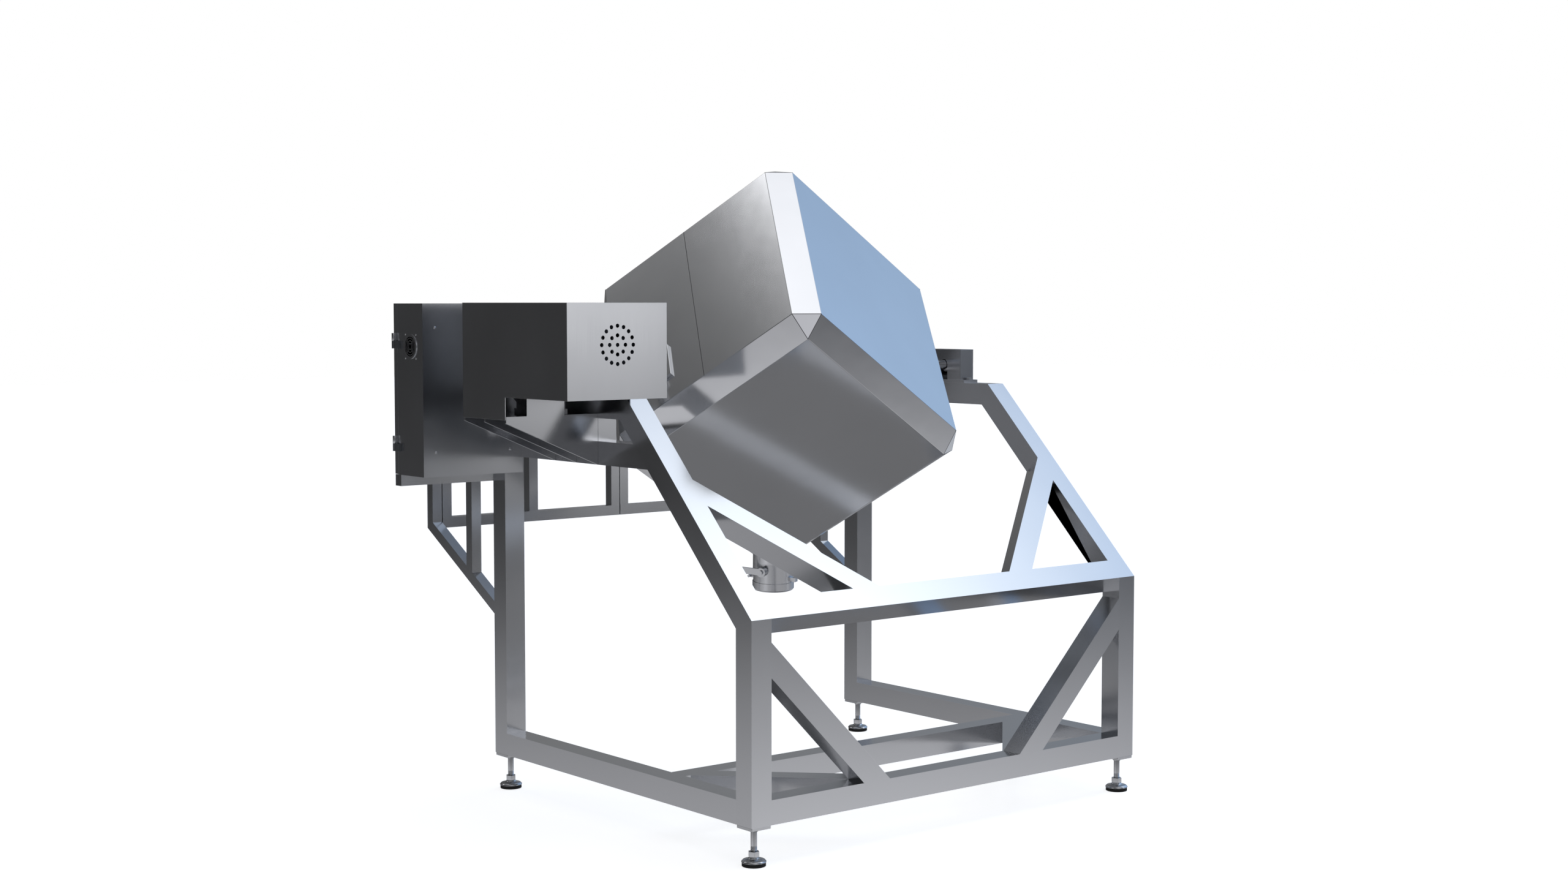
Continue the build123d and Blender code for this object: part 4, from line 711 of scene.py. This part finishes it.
def rearBars(s):  # the brackets that carry the gate, and the support of the cabinet
    g, rise = s["smallTube"], radians(s["bracketRise"])
    half, rightX, rearY, _, _ = standPlaces(s)
    rearFace, gateY, foot = rearY + half, s["gateRear"] - g / 2, s["bracketFoot"]
    slope = sin(rise) / cos(rise)
    lowZ = foot + g / 2 / cos(rise)
    cornerZ = lowZ + (gateY - rearFace) * slope
    topZ = foot + (s["gateRear"] - rearFace) * slope + s["gateHigh"]
    armZ = s["beamTop"] - g / 2
    bars = []
    for x in (-half + g / 2, rightX - half + g / 2):
        points = [(x, rearFace, lowZ), (x, gateY, cornerZ), (x, gateY, topZ)]
        bars += mitredBars(points, (1, 0, 0), g, ((x, rearFace, 0), (0, 1, 0)))
        bars.append(barBetween((x, rearFace, armZ), (x, gateY - g / 2, armZ), (1, 0, 0), g))
        seat = ((x, rearFace, foot + g / cos(rise)), (0, -sin(rise), cos(rise)))
        ends = [(x, s["bracketMid"], z) for z in (foot, s["beamTop"] - g)]
        bars.append(barBetween(*ends, (1, 0, 0), g, [seat]))
    support = (rearFace - g / 2, s["supportLow"] + g / 2)
    bars.append(barBetween((-half - s["supportReach"], *support), (-half, *support), (0, 0, 1), g))
    return bars


def dressStand(s):
    stand = weld("standFrame", sideBars(s) + crossBars(s) + braceBars(s) + rearBars(s))
    piece = toObject("standFrame", stand)
    finishPiece(piece, "stand", s["nodes"], "frameSteel", s["edge"], s["angle"])


dressStand(standSettings)
print("stage: stand dressed")

gateSettings = {
    "tube": 30.0, "edge": 0.0012, "angle": 40,
    "leaves": {  # node: name, body
        "gate_leaf_left": ("gateLeafLeft", "gate_left"), "gate_leaf_right": ("gateLeafRight", "gate_right"),
    },
}


def leafBars(points, t):  # the tubes of a leaf whose CAD tubes have these points
    xs, ys, zs = [[p[i] for p in points] for i in range(3)]
    x0, x1, z0, z1 = min(xs), max(xs), min(zs), max(zs)
    y = (min(ys) + max(ys)) / 2
    bars = [barBetween((x0, y, z), (x1, y, z), (0, 1, 0), t) for z in (z0 + t / 2, z1 - t / 2)]
    for x in (x0 + t / 2, (x0 + x1) / 2, x1 - t / 2):
        bars.append(barBetween((x, y, z0 + t), (x, y, z1 - t), (1, 0, 0), t))
    return bars


def dressGate(s):
    for node, (name, body) in s["leaves"].items():
        fittings = cleanCopy(node)
        tubes = max(islands(fittings), key=len)
        points = [v.co * 1000 for v in tubes]
        bmesh.ops.delete(fittings, geom=tubes, context="VERTS")
        grainMap(fittings)
        leaf = weld(name, leafBars(points, s["tube"]))
        addMesh(leaf, fittings)
        piece = toObject(name, leaf)
        finishPiece(piece, body, [node], "frameSteel", s["edge"], s["angle"])


dressGate(gateSettings)
print("stage: gate dressed")

# Drum

drumSettings = {
    "centre": (603.0, 663.5, 1149.9), "side": 690.0, "setback": 53.3, "sheet": 3.0, "tilt": 32.5, "park": 4.4,
    "holes": [  # direction, radius, where the cut starts and ends: the hatch and the outlet
        ((1, 0, 0), 203.0, 250.0, 420.0), ((-1, -1, -1), 57.15, 400.0, 620.0),
    ],
    "holeSteps": 96, "square": 0.1, "edge": 0.0014, "angle": 18,
    "nodes": ["drum_panels", "drum_hatch_panel", "drum_edge_strips", "drum_corner_plates"],
}


def drumFrame(s):  # turns the drum's own square axes to where it is parked
    tilt, park = radians(s["tilt"]), Matrix.Rotation(radians(s["park"]), 3, "X")
    one = park @ Vector((sin(tilt) / sqrt(2), sqrt(0.5), cos(tilt) / sqrt(2)))
    three = park @ Vector((sin(tilt) / sqrt(2), -sqrt(0.5), cos(tilt) / sqrt(2)))
    turn = Matrix((one, three.cross(one), three)).transposed().to_4x4()
    return Matrix.Translation(Vector(s["centre"]) / 1000) @ turn


def flatEdgedCube(side, setback, square, place):  # grain runs along a square axis that lies in the face
    bm = bmesh.new()
    bmesh.ops.create_cube(bm, size=side / 1000)
    bmesh.ops.bevel(bm, geom=list(bm.edges), offset=setback / 1000, offset_type="OFFSET", segments=1,
                    profile=0.5, affect="EDGES", material=-1)
    layer = bm.loops.layers.uv.new("grain")
    for face in bm.faces:
        n = face.normal
        level = [i for i in range(3) if abs(n[i]) < square]
        axis = Vector((0, 0, 0))
        axis[level[0] if level else 0] = 1.0
        across = n.cross(axis).normalized()
        for loop in face.loops:
            loop[layer].uv = (loop.vert.co.dot(across.cross(n)), loop.vert.co.dot(across))
    bmesh.ops.transform(bm, matrix=place, verts=bm.verts)
    return bm


def turnTo(direction):  # turns Z to a direction
    return Vector((0, 0, 1)).rotation_difference(Vector(direction)).to_matrix().to_4x4()


def punch(direction, radius, near, far, steps, place):  # a round cutter along a direction of the drum
    bm = bmesh.new()
    bmesh.ops.create_cone(bm, cap_ends=True, segments=steps, radius1=radius / 1000, radius2=radius / 1000,
                          depth=(far - near) / 1000)
    bmesh.ops.translate(bm, verts=bm.verts, vec=(0, 0, (near + far) / 2000))
    bmesh.ops.transform(bm, matrix=place @ turnTo(direction), verts=bm.verts)
    return bm


def dressDrum(s):
    place = drumFrame(s)
    inside, innerSetback = s["side"] - 2 * s["sheet"], s["setback"] - s["sheet"] * (2 - sqrt(2))
    solids = [flatEdgedCube(s["side"], s["setback"], s["square"], place),
              flatEdgedCube(inside, innerSetback, s["square"], place)]
    solids += [punch(*hole, s["holeSteps"], place) for hole in s["holes"]]
    piece = toObject("drumShell", weld("drumShell", solids, "DIFFERENCE"))
    finishPiece(piece, "drum", s["nodes"], "drumSteel", s["edge"], s["angle"])


dressDrum(drumSettings)
print("stage: drum dressed")

# Sheet metal, and worn edges on the cast, turned and machined pieces

sheetSettings = {  # node: edge radius, grain direction
    "drive_cover": (0.0007, (0, 0, 1)), "bearing_cover": (0.0006, (0, 0, 1)),
    "drive_bracket": (0.0005, (1, 0, 0)), "cabinet_body": (0.0005, (0, 0, 1)),
    "cabinet_door": (0.0005, (0, 0, 1)), "hub_pads": (0.0008, None), "post_caps": (0.0008, None),
}


def skinName(node):
    first, *rest = node.split("_")
    return first + "".join(word.capitalize() for word in rest) + "Skin"


def dressSheets(s):
    for node, (edge, grain) in s.items():
        bm = cleanCopy(node)
        grainMap(bm, Vector(grain) if grain else None)
        piece, slotName = toObject(skinName(node), bm), nodeSlot[node]
        finishPiece(piece, cad[node]["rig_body"], [node], slotFinish[slotName], edge)


dressSheets(sheetSettings)
print("stage: sheet metal dressed")

edgeSettings = {
    "radius": {  # node: edge radius
        "foot_bases": 0.0020, "foot_nuts": 0.0007, "foot_pads": 0.0008, "trunnion_left": 0.0008,
        "trunnion_right": 0.0008, "hatch_lid": 0.0006, "hatch_neck": 0.0006, "hatch_clamp_left": 0.0005,
        "hatch_clamp_right": 0.0005, "outlet_pipe": 0.0003, "valve_body": 0.0006, "valve_handle": 0.0008,
        "outlet_clamp": 0.0007, "bearing_blocks": 0.0015, "gearbox_housing": 0.0020, "gearbox_covers": 0.0010,
        "motor_cowl": 0.0005, "gate_bolt": 0.0003, "main_switch": 0.0008, "emergency_stop": 0.0025,
        "start_button": 0.0008, "stop_button": 0.0008, "door_lock": 0.0005, "gate_hinges": 0.0005,
        "cabinet_hinges": 0.0004,
    },
    "segments": 2,
    "finish": {"cabinet_hinges": "castIron"},  # instead of the finish of the node's slot
}


def dressEdges(s):
    for node, edge in s["radius"].items():
        slotName = nodeSlot[node]
        finish = s["finish"].get(node, slotFinish[slotName])
        piece, body = toObject(skinName(node), cleanCopy(node)), cad[node]["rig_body"]
        finishPiece(piece, body, [node], plainOf.get(finish, finish), edge,
                    segments=s["segments"], rounded=True)


dressEdges(edgeSettings)
print("stage: edges worn")

# Threads and screws

latheSettings = {"merge": 0.000001, "stemSteps": 32, "screwSteps": 20}


def lathe(profile, place, steps):  # profile points are (radius, height) in mm, turned about the place's Z
    bm = bmesh.new()
    verts = [bm.verts.new((r / 1000, 0, h / 1000)) for r, h in profile]
    edges = [bm.edges.new(pair) for pair in zip(verts, verts[1:])]
    bmesh.ops.spin(bm, geom=verts + edges, axis=(0, 0, 1), cent=(0, 0, 0), steps=steps, angle=2 * pi,
                   use_merge=True, use_duplicate=False)
    bmesh.ops.remove_doubles(bm, verts=bm.verts, dist=latheSettings["merge"])
    bmesh.ops.recalc_face_normals(bm, faces=bm.faces)
    bmesh.ops.transform(bm, matrix=place, verts=bm.verts)
    return bm


stemSettings = {
    "radius": 8.0, "depth": 0.7, "pitch": 2.0, "threadLow": 35.0, "threadHigh": 47.0,
    "thread": [(0.3, 0), (0.95, 1), (1.15, 1), (1.8, 0)],  # height within a ring, share of the depth
    "runOut": (0.2, 1.2), "shank": 7.9,
}


def footStems(s, stand):
    root, z = s["radius"] - s["depth"], s["threadLow"]
    low, high = corners("foot_stems")
    profile = [(0, low.z), (root, low.z), (root, z)]
    while z < s["threadHigh"]:
        profile += [(root + s["depth"] * out, z + rise) for rise, out in s["thread"]]
        z += s["pitch"]
    runStart, runEnd = s["runOut"]
    profile += [(root, z + runStart), (s["shank"], z + runEnd), (s["shank"], high.z), (0, high.z)]
    _, rightX, rearY, _, _ = standPlaces(stand)
    places = [Matrix.Translation((x / 1000, y / 1000, 0)) for y in (0, rearY) for x in (0, rightX)]
    stems = [lathe(profile, place, latheSettings["stemSteps"]) for place in places]
    finishPiece(joined("footStems", stems), "stand", ["foot_stems"], "turnedSteel",
                rounded=True)


footStems(stemSettings, standSettings)

screwSettings = {
    "shape": [(0, 1), (0.35, 0.96), (0.7, 0.75), (0.93, 0.35), (1, 0)],  # shares of radius and height
    "sunk": 0.4,
    "stud": {"size": (4.0, 2.4), "fromLeft": 38.0, "fromRight": 39.0, "fromEnds": 63.0},
    "fan": {"size": (2.4, 1.4), "middle": (2.0, 62.0, 338.0), "reach": (27.0, 31.0)},
    "terminal": {"size": (2.6, 1.0), "start": (48.0, 58.0), "step": 12.0, "count": 13, "rows": (72.0, 103.0)},
}


def domeHead(s, point, direction, size):  # size is a radius and a height
    radius, height = size
    profile = [(radius * out, height * up) for out, up in s["shape"]] + [(radius, -s["sunk"])]
    place = Matrix.Translation(Vector(point) / 1000) @ turnTo(direction)
    return lathe(profile, place, latheSettings["screwSteps"])


def cabinetScrews(s):  # the studs on the cabinet's front and the screws of its fan
    low, high = corners("cabinet_body")
    stud, fan = s["stud"], s["fan"]
    places = [(x, low.y, z) for x in (low.x + stud["fromLeft"], high.x - stud["fromRight"])
              for z in (low.z + stud["fromEnds"], high.z - stud["fromEnds"])]
    heads = [domeHead(s, place, (0, -1, 0), stud["size"]) for place in places]
    middle, (reachY, reachZ) = low + Vector(fan["middle"]), fan["reach"]
    for place in [middle + Vector((0, a * reachY, b * reachZ)) for a in (-1, 1) for b in (-1, 1)]:
        heads.append(domeHead(s, place, (-1, 0, 0), fan["size"]))
    finishPiece(joined("cabinetScrews", heads), "stand", None, "turnedSteel", rounded=True)


def terminalScrews(s):
    low, t = corners("cabinet_plate")[0], s["terminal"]
    x, y = low.x + t["start"][0], low.y + t["start"][1]
    places = [(x + i * t["step"], y, low.z + row) for i in range(t["count"]) for row in t["rows"]]
    heads = [domeHead(s, place, (0, 1, 0), t["size"]) for place in places]
    finishPiece(joined("terminalScrews", heads), "stand", None, "turnedSteel", rounded=True)


cabinetScrews(screwSettings)
terminalScrews(screwSettings)
print("stage: threads and screws made")

# Seams, fins, seal and web

seamSettings = {"size": 1.4, "proud": 0.25, "edgeProud": 0.1}


def drumSeams(s, d):  # the joints of the panels and corner plates show as fine dark lines of painted groove shade
    place = drumFrame(d)
    turn = place.to_3x3()
    h, k = d["side"] / 2, d["side"] / 2 - d["setback"]
    lines = [((-k, side * h, 0), (k, side * h, 0), (0, side, 0), s["proud"]) for side in (-1, 1)]
    cubeCorners = [(a, b, c) for a in (-1, 1) for b in (-1, 1) for c in (-1, 1)]
    for signs in cubeCorners[1:]:  # the first holds the outlet
        tips = [Vector([sign * (h if i == j else k) for j, sign in enumerate(signs)]) for i in range(3)]
        lines += [(tips[i], tips[(i + 1) % 3], signs, s["edgeProud"]) for i in range(3)]
    bars = []
    for start, end, out, proud in lines:
        out = Vector(out).normalized()
        sunk = out * (s["size"] / 2 - proud)
        ends = [place @ ((Vector(point) - sunk) / 1000) * 1000 for point in (start, end)]
        bars.append(barBetween(*ends, turn @ out, s["size"]))
    finishPiece(joined("drumSeams", bars), "drum", None, "seamShadeSteel")


drumSeams(seamSettings, drumSettings)

finSettings = {
    "count": 30, "low": 67.0, "high": 76.0, "thick": 2.4, "inset": 5.0, "length": 140.0,
    "boxSide": -0.72,  # the terminal box stands where the cosine is lower, and there are no fins
    "edge": 0.0005, "angle": 40,
}


def motorFins(s):
    low, high = corners("worm_shaft")
    axis = Matrix.Translation(Vector(((low.x + high.x) / 2, 0, (low.z + high.z) / 2)) / 1000)
    start = corners("motor_housing")[0].y + s["inset"]
    angles = [2 * pi * i / s["count"] for i in range(s["count"])]
    fins = []
    for angle in angles:
        if cos(angle) < s["boxSide"]:
            continue
        fin = boxBetween((s["low"], start, -s["thick"] / 2), (s["high"], start + s["length"], s["thick"] / 2))
        bmesh.ops.transform(fin, matrix=axis @ Matrix.Rotation(-angle, 4, "Y"), verts=fin.verts)
        fins.append(fin)
    piece = joined("motorFins", fins)
    finishPiece(piece, "stand", None, "motorPaint", s["edge"], s["angle"])


motorFins(finSettings)

sealSettings = {
    "fromLeft": 9.0, "fromRight": 10.0, "fromEnds": 8.0, "gap": 0.4, "width": 8.0, "depth": 17.0,
    "edge": 0.0008, "angle": 40,
}


def doorSeal(s):  # the foam strip inside the door
    low, high = corners("cabinet_body")
    x0, x1 = low.x + s["fromLeft"], high.x - s["fromRight"]
    z0, z1 = low.z + s["fromEnds"], high.z - s["fromEnds"]
    half, near, far = s["width"] / 2, high.y + s["gap"], high.y + s["gap"] + s["depth"]
    strips = []
    for xa, za, xb, zb in [(x0, z0, x1, z0), (x0, z1, x1, z1), (x0, z0, x0, z1), (x1, z0, x1, z1)]:
        strips.append(boxBetween((xa - half, near, za - half), (xb + half, far, zb + half)))
    seal = toObject("doorSeal", weld("doorSeal", strips))
    finishPiece(seal, "cabinet_door", None, "blackRubber", s["edge"], s["angle"])


doorSeal(sealSettings)

webSettings = {"thick": 5.0, "inset": 3.0, "edge": 0.0005}


def bracketWeb(s, stand):  # the front bracket plate goes on between the two rails of the left side
    front, half = corners("drive_bracket")[0].y, stand["tube"] / 2
    web = boxBetween((-half, front, stand["secondBeam"]),
                     (half - s["inset"], front + s["thick"], stand["beamTop"] - stand["tube"]))
    grainMap(web, Vector((1, 0, 0)))
    finishPiece(toObject("bracketWeb", web), "stand", None, "coverSteel", s["edge"])


bracketWeb(webSettings, standSettings)
print("stage: seams, fins, seal and web made")

for node, piece in cad.items():  # every CAD node that stays in view takes its slot's finish
    finish = slotFinish[nodeSlot[node]]
    piece.data.materials.clear()
    piece.data.materials.append(finishes[plainOf.get(finish, finish)])
print("stage: finishes on")
